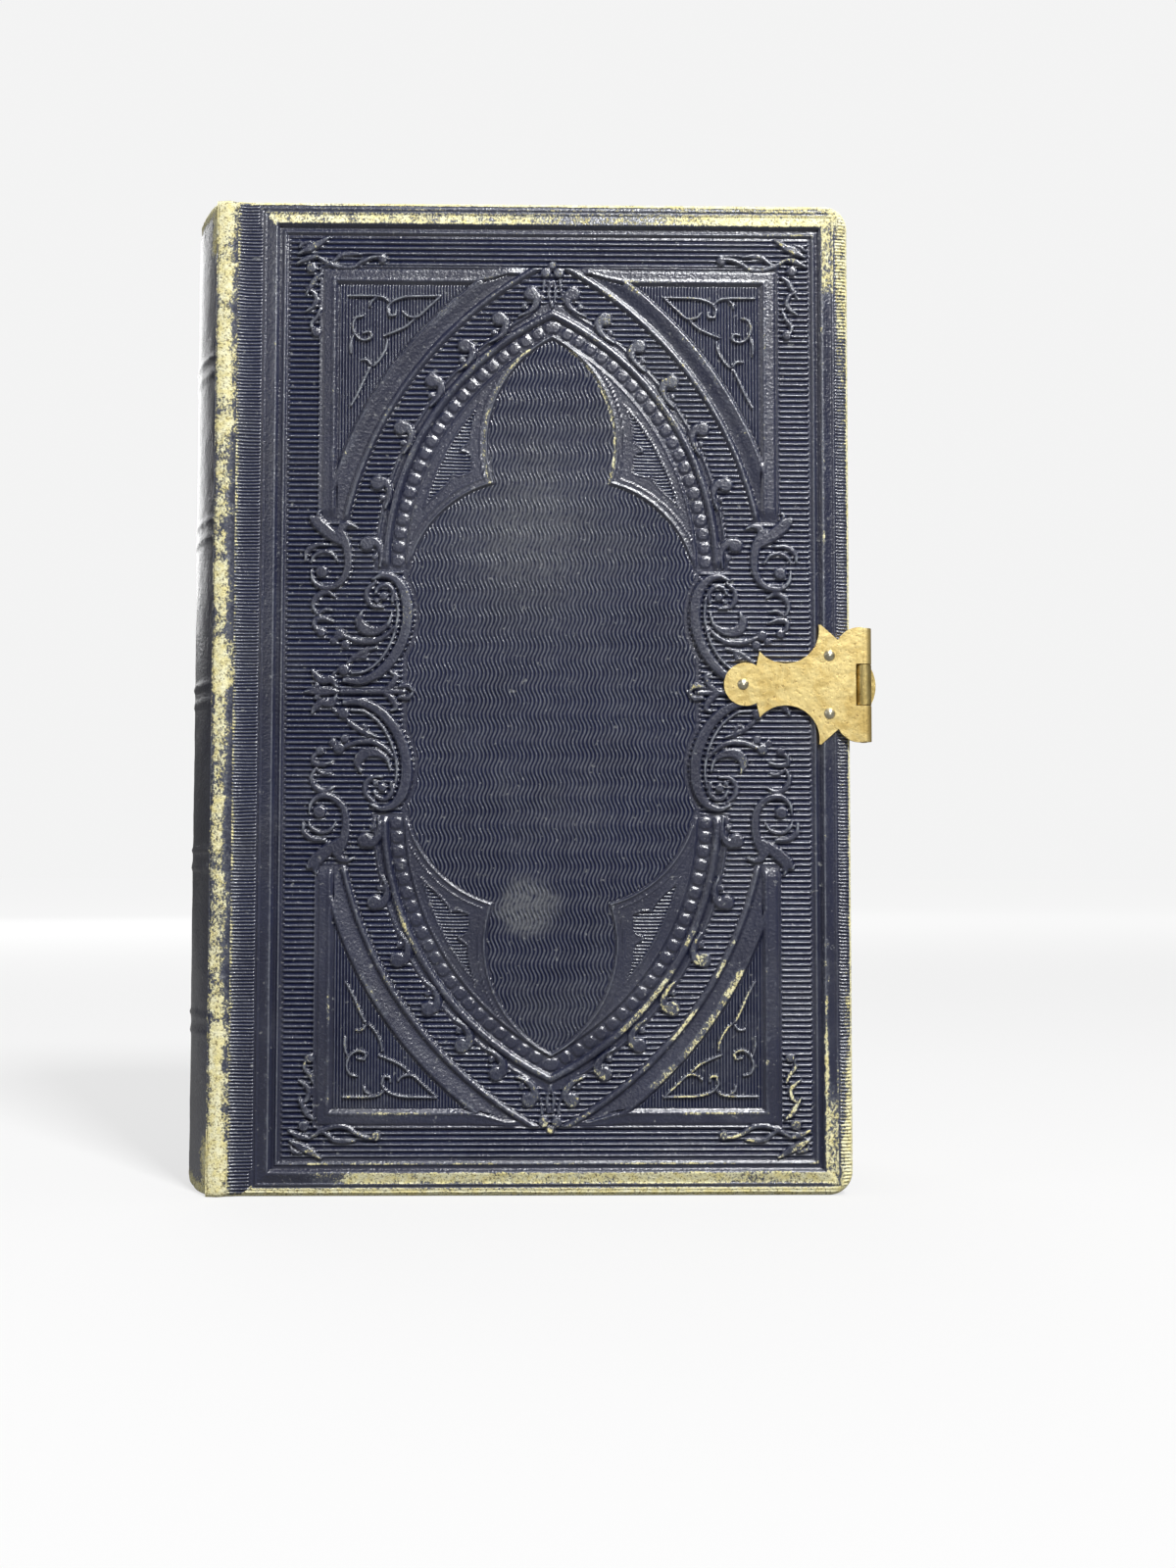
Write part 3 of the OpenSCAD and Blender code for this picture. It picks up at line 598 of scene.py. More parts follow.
    def side_scroll(self):
        """The large scroll beside the panel, with a curled head, an inner leaf and a ball at its foot."""
        self.stroke([(27.2, 17.2), (25.6, 17.8), (23.7, 17.1), (22.4, 15.1), (21.9, 12), (22.4, 8.6),
            (23.9, 5.4), (26.2, 2.9), (29, 1.6), (31.4, 1.7)],
            (0.6, 1.1, 1.5, 1.9, 2.0, 1.9, 1.8, 1.7, 1.5, 1.0), 0.55)
        self.stroke([(23.6, 14.6), (23.4, 11.4), (24.2, 8), (25.9, 5), (28.3, 3.1), (30.4, 2.8)],
            (0.5, 0.7, 0.7, 0.6), 0.42)
        self.stroke([(26.8, 16.8), (28, 15.6), (28.1, 14.2), (27.2, 13.1), (25.6, 12.9)],
            (0.7, 1.0, 1.1, 0.9, 0.6), 0.4)
        self.stroke([(24.2, 13.8), (24.1, 15.3), (25.1, 16.3), (26.3, 16), (26.8, 15.1)],
            (0.8, 1.0, 0.9, 0.6), 0.4)
        self.ball(25.6, 14.6, 0.75, 0.42)
        self.ball(26.6, 13.9, 0.5, 0.36)
        self.stroke([(24.3, 12.1), (24.9, 10.3), (26.6, 9.3), (28.4, 9.5), (29.3, 10.8), (28.8, 12.3)],
            (0.4, 0.9, 1.6, 2.0, 1.6, 0.5), 0.46, 0.1)
        self.stroke([(23.9, 10), (25.1, 8.7), (27, 7.7), (29.4, 7.7), (31.3, 8.4)],
            (0.5, 0.9, 1.1, 1.0, 0.9), 0.42)
        self.ball(32.2, 8.7, 1.0, 0.44)
        self.ball(31.3, 7.2, 0.8, 0.4)
        self.ball(33.1, 7.8, 0.7, 0.36)
        self.stroke([(26.6, 6.8), (28.6, 6.1), (30.4, 4.9), (31.2, 3.9)], (0.5, 1.1, 1.0, 0.4), 0.36)
        self.stroke([(28.0, 6.6), (28.3, 5.3), (29.4, 5.2)], (0.7, 0.9, 0.4), 0.34)
        self.ball(31.5, 3.3, 1.05, 0.5)
        self.stroke([(32, 3.4), (32.9, 2.9), (33.4, 2.2)], (0.9, 0.7, 0.3), 0.34)

    def foot_of_arch(self):
        """The volute and its leaves at the foot of the outer arch, and the small stem below it."""
        self.stroke([(32.3, 24.4), (31.3, 22.3), (31, 20), (31.4, 17.8), (32.9, 16.2), (34.9, 15.9),
            (36.3, 17), (36.6, 18.6)], (1.9, 1.7, 1.5, 1.3, 1.2, 1.1, 0.8, 0.4), 0.5, 0.08)
        self.stroke([(32.2, 23), (33.9, 24.2), (35.6, 25.7), (36.6, 26.6)], (1.6, 2.2, 2.2, 1.1), 0.48, 0.1)
        self.stroke([(35.4, 26.2), (35.6, 27.2), (35.2, 27.9)], (1.3, 0.8, 0.3), 0.42)
        self.stroke([(32.5, 24), (31.9, 25.2), (30.9, 25.6), (29.8, 25.2)], (1.4, 1.5, 1.1, 0.4), 0.46)
        self.ball(35, 18.3, 1.15, 0.5)
        self.stroke([(32.5, 19.8), (33.4, 21), (34.9, 21.4), (36.2, 20.7), (36.7, 19.7)],
            (0.4, 0.8, 0.9, 0.8, 0.4), 0.38)
        self.stroke([(34.2, 22.5), (36, 22.4), (37.3, 21.4), (37.5, 20)], (0.6, 1.0, 1.1, 0.5), 0.4)
        self.stroke([(32.9, 14.5), (34.2, 15.2), (35.6, 14.6), (36.3, 13.2), (35.8, 11.9)],
            (0.5, 1.0, 1.2, 1.0, 0.6), 0.4)
        self.stroke([(33.2, 12.4), (34.5, 12.5), (35.6, 11.8)], (0.4, 0.8, 0.7), 0.34)
        self.stroke([(33.1, 10.7), (34.6, 11.1), (35.9, 10.9), (36, 9.9), (35.2, 9.2)],
            (0.4, 1.0, 1.1, 0.9, 0.8), 0.4)
        self.ball(35, 9.0, 0.8, 0.42)

    def middle_leaves(self):
        """The leaves between the upper and the lower scrolls."""
        self.stroke([(25.6, 0), (28.6, 0.1), (31.9, 0)], (1.0, 0.7, 1.0), 0.42)
        self.stroke([(32.6, 0.6), (33.4, 1.8), (34.9, 1.7), (35.9, 2.6), (36.3, 3.3)],
            (0.6, 1.5, 1.4, 1.2, 0.6), 0.42)
        self.stroke([(32.6, 0), (35, 0.2), (37.4, 0)], (0.9, 1.3, 0.5), 0.4)
        self.ball(35.6, 0.9, 0.5, 0.42)
        self.stroke([(21, 0.1), (21.8, 0.9), (23, 0.8)], (0.5, 1.1, 0.9), 0.42)
        self.stroke([(25.3, 0.2), (24.2, 1.1), (23.6, 2.4), (24.4, 2.9)], (0.9, 1.3, 1.1, 0.5), 0.42)
        self.stroke([(22.4, 0), (25.4, 0)], (0.9, 1.1), 0.42)

    def crockets(self):
        """The balls along the beaded arch, each on a stem that curls back to it."""
        curl = ((0.5, 0.1), (-0.6, -0.5), (-1.7, 0.3), (-2.1, 1.8), (-2.0, 3.3))
        for place in ((3.1, 61.4), (8.0, 57.5), (13.2, 53.3), (18.2, 47.8), (22.9, 40.5), (26.4, 31.9),
                (27.9, 22.6)):
            away = np.subtract(place, INNER_ARCH)
            away = away / math.hypot(*away)
            down = np.array([away[1], -away[0]])
            stem = [place + away * a + down * d for a, d in curl]
            self.stroke(stem, (1.7, 1.7, 1.3, 0.9, 0.5), 0.48)
            self.ball(*(place + 0.25 * away), 1.35, 0.5)
            self.ball(*(place - 1.1 * away + 1.9 * down), 0.55, 0.34)
        self.stroke([(3.3, 58.9), (2.0, 60.3), (1.4, 62), (1.2, 63.7)], (0.4, 0.5, 0.5, 0.7), 0.3)
        self.stroke([(0, 59.5), (0.5, 61.5), (0.3, 63.4)], (0.5, 0.6, 0.8), 0.32)
        self.ball(1.0, 64.9, 0.95, 0.46)
        self.ball(0, 66.0, 0.75, 0.44)

    def corner_spray(self):
        """The leaves that twine round the frame's corner."""
        self.ball(26.1, 66.9, 0.85, 0.44)
        self.stroke([(26.3, 67.2), (27.7, 67.1), (29.3, 66.4), (30.6, 65.6), (32.4, 65.5), (34.3, 66.1),
            (35.8, 67)], (0.7, 0.8, 0.9, 0.9, 0.9, 1.0, 0.7), 0.46)
        self.stroke([(29.4, 67.6), (31, 67.7), (32.4, 67.5), (33.4, 66.7), (34.8, 65.9)],
            (0.5, 1.1, 1.0, 0.8, 0.5), 0.42)
        self.stroke([(34.4, 70.2), (35.8, 69.3), (37.4, 68.5), (39, 67.6)], (0.5, 1.3, 1.6, 0.5), 0.46, 0.08)
        self.stroke([(36.2, 67.2), (37.6, 66.9), (39.2, 66.1)], (0.7, 1.3, 0.5), 0.44)
        self.stroke([(37.2, 69.5), (38.4, 69.2), (38.9, 68.6)], (0.5, 1.0, 0.5), 0.38)
        self.ball(37, 65.4, 0.95, 0.48)
        self.stroke([(35.5, 64.4), (36.4, 63.7), (37.1, 62.5), (37.8, 61.3)], (0.6, 1.1, 1.1, 0.4), 0.44)
        self.stroke([(37.8, 62.3), (36.6, 61.5), (36.2, 60.3), (36.8, 59.3), (37.8, 58.6)],
            (0.4, 0.9, 1.1, 0.9, 0.4), 0.42)
        self.stroke([(35.6, 59), (36.1, 57.8), (36.9, 56.8), (36.8, 55.7)], (0.5, 0.9, 0.9, 0.6), 0.42)
        self.ball(36.2, 55.3, 0.85, 0.46)

    def tendrils(self):
        """Thin stems in the corner between the frame and the outer arch."""
        for points in (
                ((17.1, 61.2), (20, 61.1), (22.4, 61), (24.1, 60.5), (24.9, 59.9), (25.4, 59.2)),
                ((25, 60.2), (26, 60.9), (27.8, 61.1), (31.2, 61.1)),
                ((27.2, 60.7), (27.8, 60.2), (28, 59.5)),
                ((25.3, 59.1), (25, 58.1), (24.1, 58.2), (24, 58.9)),
                ((17.3, 61), (19, 59.4), (20.7, 57.9), (22.2, 58), (22.9, 58.7)),
                ((21.2, 57.5), (22.4, 56.4), (24, 55.6), (25.8, 54.9)),
                ((25.3, 54.2), (25.6, 52.7), (26.5, 51.1), (27.4, 50.2)),
                ((27.9, 49.9), (28.7, 48.3), (29.7, 46), (30.8, 44)),
                ((27.8, 50.4), (28.4, 51.1), (29.3, 51.1)),
                ((29.1, 58), (30.2, 57.6), (30.6, 56.3), (30.1, 54.9), (29, 54.2), (27.8, 54.6), (28, 55.5),
                    (29, 55.3)),
                ((30.5, 55), (30.9, 53.6), (30.9, 52.2))):
            self.stroke(points, (0.5, 0.58, 0.58, 0.45), 0.42)

    def masks(self):
        """Where the coarse ribs, the fine ribs, the upright lines and the wavy grain are."""
        flat = smooth(0.2, 0.1, self.h)
        outside = np.where(self.beside, smooth(3.55, 3.7, self.outer), smooth(4.0, 4.2, self.outer))
        band = smooth(-0.6, -0.8, self.outer) * smooth(-0.2, 0.1, self.t)
        in_arch = smooth(58.8, 58.5, self.outer_arch) * (1 - band) * smooth(-0.1, -0.4, self.t)
        low = smooth(26.5, 25.5, self.v)
        ground = np.maximum(in_arch, low * smooth(-0.5, -0.9, self.outer))
        clear = np.where(self.v > INNER_ARCH[1], smooth(46.0, 46.3, self.inner_arch), 1.0)
        ground = ground * clear * smooth(0.1, 0.4, self.panel)
        spandrel = (smooth(62.9, 63.2, self.outer_arch) * smooth(0.0, -0.2, self.t + self.depth)
            * smooth(26, 27, self.v) * ~self.hollow)
        panel = smooth(-0.3, -0.6, self.panel)
        ribs = np.clip(np.maximum(band, ground), 0, 1)
        return {"ribs": ribs * flat, "fine": np.maximum(outside, self.gap * flat), "upright": spandrel * flat,
            "wavy": panel * smooth(0.35, 0.2, self.h)}


def inset_of(x, z):
    """Distance in from the cover's head, fore and tail edges, with their rounded corners."""
    dx = FORE_X - x
    dz = np.minimum(z, BOOK_H - z)
    qx, qz = CORNER_R - dx, CORNER_R - dz
    corner = CORNER_R - np.hypot(np.maximum(qx, 0), np.maximum(qz, 0))
    return np.where((qx > 0) & (qz > 0), corner, np.minimum(dx, dz))


def edge_drop(inset):
    """How far the leather falls away as it rounds the board's edge."""
    t = np.clip(1 - inset / EDGE_R, 0, 1)
    return EDGE_R * (1 - np.sqrt(1 - t * t))


def spot(x, z, at_x, at_z, reach_x, reach_z):
    """A soft patch from 0 to 1."""
    return np.exp(-(((x - at_x) / reach_x) ** 2) - ((z - at_z) / reach_z) ** 2)


def front_wear(x, z, h, inset):
    """How far the leather's dyed surface is rubbed off, as the photograph shows: edges, corners, mouldings,
    crests.
    """
    u, w = np.abs(x), z - MID_Z
    s = np.maximum(u - FRAME_U, np.abs(w) - FRAME_V)
    rough = fbm(x, z, 9, 11) - 0.5
    ridges = smooth(0.24, 0.42, h)
    slope = smooth(1.15, 1.5, s) * smooth(3.3, 2.9, s)
    crest = bell(s, 1.5, 0.4)
    line = bell(s, 0.05, 0.3)
    thin = bell(s, 3.15, 0.3) + bell(s, 3.75, 0.25)
    over = np.abs(w) - FRAME_V > u - FRAME_U - 0.6
    head, foot, right = over & (w > 68), over & (w < -68), ~over & (x > 38)
    beyond = smooth(3.3, 3.7, s)
    amount = 0.06 + ridges * (0.1 + 0.3 * rough)

    def wear(part, level):
        nonlocal amount
        amount = np.maximum(amount, part * level)

    wear(np.exp(-(np.maximum(inset, 0) / 0.75) ** 1.5), 0.6 + 0.3 * rough)
    # head: the moulding's slope and both lines, most at the fore corner
    wear(slope * head, 0.6 * smooth(-46, -42, x) - 0.14 * spot(x, w, 8, 73, 9, 9) + 0.08 * smooth(15, 30, x))
    wear(thin * head, 0.44 + 0.12 * smooth(10, 35, x))
    wear(line * head, 0.3 + 0.15 * smooth(20, 40, x))
    wear(beyond * head, 0.3 + 0.2 * smooth(-5, 38, x) + 0.3 * smooth(75.1, 75.6, w))
    # fore edge: strong near both corners, flecks on the moulding between
    far_up, far_down = smooth(38, 64, w), smooth(-30, -66, w)
    wear(slope * right, 0.56 * smooth(57, 64, w) + 0.58 * smooth(-55, -64, w))
    wear(crest * right, 0.3 + 0.3 * far_down + 0.6 * rough * (w < 0) + 0.3 * spot(x, w, 41.8, 23.5, 2, 2))
    rim = far_down * smooth(1.7, 0.5, inset)
    wear(beyond * right, 0.24 + 0.3 * far_up + 0.34 * rim + 0.3 * smooth(-60, -69, w))
    wear(thin * right, 0.5 * smooth(-50, -58, w) + 0.5 * smooth(56, 64, w))
    # tail: a bare band on the moulding from a third of the way
    band = smooth(-32, -27, x) + 0.62 * smooth(-38, -34, x) * smooth(-27, -31, x)
    wear(slope * foot, 0.7 * np.minimum(band, 1) + 0.2 * rough)
    wear(line * foot, 0.48 + 0.5 * rough - 0.3 * (x < -36))
    wear(beyond * foot, 0.44 + 0.3 * smooth(-74.2, -75.2, w) + 0.16 * smooth(0, 25, x))
    # crests of the ornament
    low = smooth(-18, -45, w)
    patch = smooth(0.5, 0.62, fbm(x, z, 4.5, 17))
    wear(ridges, low * (0.15 + 0.08 * smooth(-5, 22, x) + patch * (0.24 + 0.07 * smooth(-5, 22, x))))
    wear(ridges, smooth(12, 40, w) * (0.16 + 0.06 * smooth(-5, 12, x) + 0.18 * patch))
    # patches in which the crests are bare: how much, where, and how far they reach
    for level, *place in (
            (0.6, 29, -68, 6, 4), (0.56, 0, -66, 3, 3), (0.56, 37, -61, 4, 10), (0.46, 31, -11, 4, 7),
            (0.42, -21, 14, 4, 8), (0.46, 22, 1, 4, 4), (0.5, -29, -51, 4, 5), (0.52, -22, -63.4, 12, 1.3),
            (0.44, 28, -63.4, 14, 1.3), (0.44, 22, -65.7, 16, 0.8), (0.46, -32, -48, 3, 6)):
        wear(ridges, level * spot(x, w, *place))
    wear(bell(away_from(u, w, LOBE), LOBE_R, 0.4) * (w > 32) * (w < 53), 0.56)
    beaded = bell(away_from(u, np.abs(w), INNER_ARCH), 44.2, 0.6)
    wear(beaded, 0.6 * spot(x, w, -22, -36, 5, 8) + 0.5 * spot(x, w, 17, 41, 5, 9))
    wear(spot(x, w, JOINT_X, w, 0.7, 1), 0.44 + 0.3 * rough)
    corners = spot(x, z, FORE_X, BOOK_H, 7, 7) * 0.72 + spot(x, z, FORE_X, 0, 5.5, 5.5) * 0.66
    wear(np.where(s > 3, 1.0, ridges), corners)
    return np.clip(amount + 0.1 * rough * (amount > 0.2), 0, 1)


def cover_height(x, z, rich=True):
    """Height of the leather over the cover's plane, with its masks."""
    stamp = Stamp(x, z - MID_Z, rich)
    inset = inset_of(x, z)
    h = stamp.h * smooth(0.6, 1.6, inset)
    h = h + 0.1 * (fbm(x, z, 26, 31, 3) - 0.5) + 0.03 * (fbm(x, z, 2.2, 51, 2) - 0.5)
    h = h + 0.25 * bell(x - JOINT_X, -0.2, 1.0)
    h = np.minimum(h, RELIEF_H) - edge_drop(inset)
    return h, stamp, inset


def ribbed_height(x, z):
    """The cover's height with its coarse ribs as well."""
    h, stamp, inset = cover_height(x, z)
    masks = stamp.masks()
    h = h + RIB_H * masks["ribs"] * np.sin(2 * np.pi * z / RIB_PITCH)
    return h, stamp, inset, masks


def cover_face(name, body, side, step, strips):
    """A cover's stamped face, in strips so that no piece is too heavy. side is -1 in front, 1 behind."""
    x0, x1, z0, z1 = JOINT_X, FORE_X - FACE_GAP, FACE_GAP, BOOK_H - FACE_GAP
    nx, nz = round((x1 - x0) / step[0]) + 1, round((z1 - z0) / step[1]) + 1
    x, z = np.meshgrid(np.linspace(x0, x1, nx), np.linspace(z0, z1, nz))
    # the corners' vertices slide back onto the rounded outline
    qx, qz = x - CORNER_X, np.abs(z - MID_Z) - CORNER_Z
    reach = np.hypot(qx, qz)
    r = CORNER_R - FACE_GAP
    over = (qx > 0) & (qz > 0) & (reach > r)
    pull = np.where(over, r / np.maximum(reach, 1e-6), 1)
    x = np.where(over, CORNER_X + qx * pull, x)
    z = np.where(over, MID_Z + np.sign(z - MID_Z) * (CORNER_Z + qz * pull), z)
    h, stamp, inset, data = ribbed_height(x, z)
    flat_h = h + edge_drop(inset)
    # how far each point stands above its neighbours: the leather wears its crests by it, and with it paints
    # highlight on crests and shade in hollows
    data["stand"] = np.clip(0.5 + (flat_h - blurred(flat_h, round(0.5 / step[0]))) / 0.5, 0, 1)
    # the back is less worn
    data["wear"] = front_wear(x, z, h, inset) * (1 if side < 0 else 0.8)
    ragged = 0.6 + 0.8 * fbm(x, z, 2.5, 75)
    scuff = 0.7 * smooth(0.35, 0.8, spot(x, z, -3, 43.5, 6, 5.5) * ragged) + 0.4 * spot(x, z, -2, 101, 12, 14)
    data["scuff"] = np.clip(scuff * (stamp.panel < 1) + 0.14 * smooth(0.5, 0.75, fbm(x, z, 14, 71)), 0, 1)
    points = world(x, side * (HALF_T + h), z).reshape(nz, nx, 3)
    near = 0.45 * step[0]
    rise_x = (ribbed_height(x + near, z)[0] - ribbed_height(x - near, z)[0]) / (2 * near)
    rise_z = (ribbed_height(x, z + near)[0] - ribbed_height(x, z - near)[0]) / (2 * near)
    normal = np.stack([-rise_x, side + 0 * x, -rise_z], 2)
    normal /= np.linalg.norm(normal, axis=2, keepdims=True)
    uv = np.stack([(x - x0) / (BOOK_H + 2), z / (BOOK_H + 2)], 2)
    cuts = np.linspace(0, nz - 1, strips + 1).round().astype(int)
    made = []
    for i in range(strips):
        a, b = cuts[i], cuts[i + 1] + 1
        faces = grid_faces(b - a, nx, flip=side > 0)
        part = uv[a:b].reshape(-1, 2) - [0, uv[a, 0, 1]]
        part = part / max(part[:, 0].max(), part[:, 1].max()) * 0.98 + 0.01
        attributes = {k: m[a:b].ravel() for k, m in data.items()}
        strip = f"{name}_{i + 1}" if strips > 1 else name
        piece = make_mesh(strip, points[a:b].reshape(-1, 3), faces, body, LEATHER, attributes, part,
            normal[a:b].reshape(-1, 3))
        made.append(piece)
    return made


def unstamped(wear, scuff=0.0):
    """The attributes of leather that has no stamp."""
    return {"wear": wear, "ribs": 0, "fine": 0, "upright": 0, "wavy": 0, "scuff": scuff, "stand": 0.5}


def cover_edge(name, body, side):
    """The leather round the board's three edges and its turn-in, swept along the cover's outline."""
    span, tall, step = CORNER_X - JOINT_X, BOOK_H - 2 * CORNER_R, 0.3
    bend = np.radians(np.linspace(-90, 0, 14))[1:-1]
    along = np.linspace(0, 1, round(span / step) + 1)
    up = np.linspace(0, 1, round(tall / step) + 1)
    # places along the outline, each with the direction that faces out of it
    tail = np.stack([JOINT_X + span * along, 0 * along, 0 * along, 0 * along - 1], 1)
    across, rise = np.cos(bend), np.sin(bend)
    corner = np.stack([CORNER_X + CORNER_R * across, CORNER_R + CORNER_R * rise, across, rise], 1)
    fore = np.stack([FORE_X + 0 * up, CORNER_R + tall * up, 0 * up + 1, 0 * up], 1)
    low = np.concatenate([tail, corner])
    high = low[::-1] * [1, -1, 1, -1] + [0, BOOK_H, 0, 0]
    px, pz, nx, nz = (c[None, :] for c in np.concatenate([low, fore, high]).T)
    # rows from the face round to the turn-in: how far in, and how deep, where -1 is the face's own height
    rows = [(0.36, -1), (0.24, -1), (0.13, -1), (0.05, -1), (0.01, -1), (0, EDGE_R), (0, 1.6), (0, 2.1),
        (0.03, 2.5), (0.14, 2.85), (0.4, 3.1), (0.8, TURN_DEPTH), (1.8, TURN_DEPTH), (3.4, TURN_DEPTH)]
    inset, depth = (c[:, None] for c in np.array(rows, float).T)
    x, z = px - nx * inset, pz - nz * inset
    h, _, _ = cover_height(x, z, False)
    depth = depth + 0 * x
    ragged = 0.1 * (fbm(px + pz * 1.3, depth, 1.4, 91) - 0.5) * smooth(0.5, 1.2, depth) * (inset < 1)
    depth = np.where(depth < 0, -h, depth)
    x, z = x - nx * np.abs(ragged), z - nz * np.abs(ragged)
    points = world(x, side * (HALF_T - depth), z)
    around = smooth(2.3, 1.2, depth) * 0.34 + 0.36 + 0.25 * (fbm(px + pz, depth * 2, 6, 95) - 0.5)
    near = np.hypot(FORE_X - px, np.minimum(pz, BOOK_H - pz))
    wear = np.where(inset > 1, 0.1, around + 0.2 * bell(near, 0, 7))
    faces = grid_faces(*x.shape, flip=side < 0)
    piece = make_mesh(name, points, faces, body, LEATHER, unstamped(wear.ravel()))


def spine_skin():
    """The leather over the rounded back, with its raised rules and its rubbed, torn caps."""
    half = math.asin(HALF_T / SPINE_R)
    phi = np.linspace(-half, half, 150)[None, :]
    # rows from the turned-in tail to the turned-in head: how far in, and how high
    cap = [(2.35, 0.8), (2.35, 0.35), (1.9, 0.08), (1.2, 0.0), (0.55, 0.05), (0.2, 0.25), (0.03, 0.5)]
    rows = cap + [(0, t) for t in np.arange(0.8, BOOK_H - 0.79, 0.55)]
    rows += [(i, BOOK_H - z) for i, z in cap[::-1]]
    inset, z = (c[:, None] + 0 * phi for c in np.array(rows, float).T)
    arc = SPINE_R * phi + 0 * z
    pairs, rules = 5, 0
    for i in range(1, pairs + 1):
        for offset in (-1.3, 1.3):
            rules = rules + bell(z - BOOK_H * i / (pairs + 1), offset, 0.42)
    dent = 0.25 * (fbm(arc, z, 12, 101) - 0.5) + 0.1 * (fbm(arc, z, 2.5, 105) - 0.5)
    end = np.minimum(z, BOOK_H - z)
    worn = np.exp(-((end / 3.5) ** 1.5))
    torn = 0.5 * worn * (fbm(arc, z * 2, 3, 111) - 0.3)
    r = SPINE_R - inset + 0.2 * rules + dent * smooth(0, 2, end) - np.abs(torn) * (inset < 1)
    r = np.minimum(r, SPINE_R + 0.24)
    fray = 0.55 * worn * smooth(0.45, 0.75, fbm(arc, 0 * arc, 2.1, 121)) * (inset < 2)
    z = z + np.where(z < MID_Z, fray, -fray)
    x = SPINE_CX - r * np.cos(phi)
    y = np.clip(r * np.sin(phi), -HALF_T, HALF_T)
    wear = 0.75 * np.exp(-((end / 2.2) ** 1.3)) + 0.25 * bell(end, 0, 8)
    side = np.abs(phi) / half
    on_rules = 0.3 * (rules > 0.4) * (fbm(arc, z, 7, 131) - 0.25)
    wear = np.maximum(wear, 0.44 * smooth(0.93, 1.0, side) + 0.06 + on_rules)
    wear = np.maximum(wear, 0.66 * smooth(0.7, 0.95, side) * smooth(12, 7, end))
    wear = np.maximum(wear, 0.25 * smooth(0.5, 0.75, fbm(arc, z, 20, 141)))
    wear = np.where(inset > 1, 0.5, wear)
    scuff = 0.3 * smooth(0.5, 0.7, fbm(arc, z, 10, 151))
    piece = make_mesh("spine_skin", world(x, y, z), grid_faces(*x.shape, flip=True), "block", LEATHER,
        unstamped(wear.ravel(), scuff.ravel()))
    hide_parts("spine_leather")


def joint_skin(name, side):
    """The strip of leather between the spine and a cover, with its ridge."""
    across = np.linspace(JOINT_X + 0.02, SHOULDER_X - 0.25, 20)
    low = np.array([0.0, 0.25, 0.6])
    tall = np.concatenate([low, np.arange(1.0, BOOK_H - 0.9, 0.4), BOOK_H - low[::-1]])
    x, z = np.meshgrid(across, tall)
    end = np.minimum(z, BOOK_H - z)
    h = 0.3 * bell(x, JOINT_RIDGE_X, 1.1) + 0.02
    cover_side, _, _ = cover_height(np.full_like(x, JOINT_X), z, False)
    near = smooth(JOINT_X - 1.2, JOINT_X, x)
    h = h * (1 - near) + np.where(near > 0, cover_side, 0) * near
    h = h - 0.5 * np.clip(1 - end / 0.6, 0, 1) ** 2 * (1 - near)
    h = h + 0.12 * (fbm(x, z, 1.6, 161) - 0.5) * (1 - near)
    tucked = 0.05 - 0.3 * smooth(SHOULDER_X + 0.2, SHOULDER_X - 0.25, x)
    h = np.where(x < SHOULDER_X + 0.2, np.minimum(h, tucked), h)
    middle = -49.9 + 1.1 * (fbm(0 * x, z, 11, 171) - 0.5)
    wide = 1.05 + 0.9 * (fbm(0 * x, z, 7, 175) - 0.4) + 0.4 * smooth(14, 3, end)
    streaks = smooth(0.52, 0.64, fbm(0 * x, z, 9, 179))
    wear = 0.34 + 0.24 * np.exp(-(((x - middle) / wide) ** 4)) + 0.16 * streaks
    wear = wear + 0.3 * (fbm(x, z, 2.2, 183) - 0.5) + 0.12 * smooth(12, 4, end)
    n = x.size
    outer = world(x, side * (HALF_T + h), z)
    inner = world(x, side * (HALF_T + h - 0.7), z)
    top = grid_faces(*x.shape, flip=side < 0)
    under = grid_faces(*x.shape, flip=side > 0) + n
    index = np.arange(n).reshape(x.shape)
    ring = np.concatenate([index[0], index[1:, -1], index[-1, -2::-1], index[-2:0:-1, 0]])
    after = np.roll(ring, -1)
    rim = np.stack([ring, after, after + n, ring + n], 1)
    faces = np.concatenate([top, under, rim if side > 0 else rim[:, ::-1]])
    wear = np.concatenate([wear.ravel(), np.full(n, 0.05)])
    piece = make_mesh(name, np.concatenate([outer, inner]), faces, None, LEATHER, unstamped(wear))
    y, z = side * (HALF_T + 0.3) / 1000, MID_Z / 1000
    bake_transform(piece)


front = cover_face("front_cover_skin", "front_cover", -1, (0.25, 0.19), 4)
cover_edge("front_cover_edge", "front_cover", -1)
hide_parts("front_leather")
back = cover_face("back_cover_skin", "back_cover", 1, (0.42, 0.4), 1)
cover_edge("back_cover_edge", "back_cover", 1)
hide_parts("back_leather")
spine_skin()
joint_skin("front_joint_skin", -1)
joint_skin("back_joint_skin", 1)


# Pieces taken over from the frame


def dress(node, look, bevel=0.0):
    piece = NODES[node]
    piece.data.materials.clear()
    piece.data.materials.append(look)
    if bevel:
        soft = piece.modifiers.new("soft_edges", "BEVEL")
        soft.width = bevel / 1000
        soft.segments = 2
        soft.limit_method = "ANGLE"
        soft.angle_limit = math.radians(40)
        soft.harden_normals = True


dress("text_block", PAGES)
for node in ("head_band", "tail_band"):
    dress(node, BAND)
for node in ("front_board", "back_board"):
    dress(node, BOARD)
for node in ("front_pastedown", "back_pastedown"):
    dress(node, ENDPAPER)
for node in ("front_clasp_plate", "back_clasp_plate"):
    dress(node, PLATE, 0.12)
for node in ("hinge_pin", "catch_bar"):
    dress(node, HINGE)
dress("clasp_strap", HINGE, 0.12)
for side in ("front", "back"):
    for place in ("inner", "upper", "lower"):
        dress(f"{side}_rivet_{place}", RIVET)


# Stage, light and camera


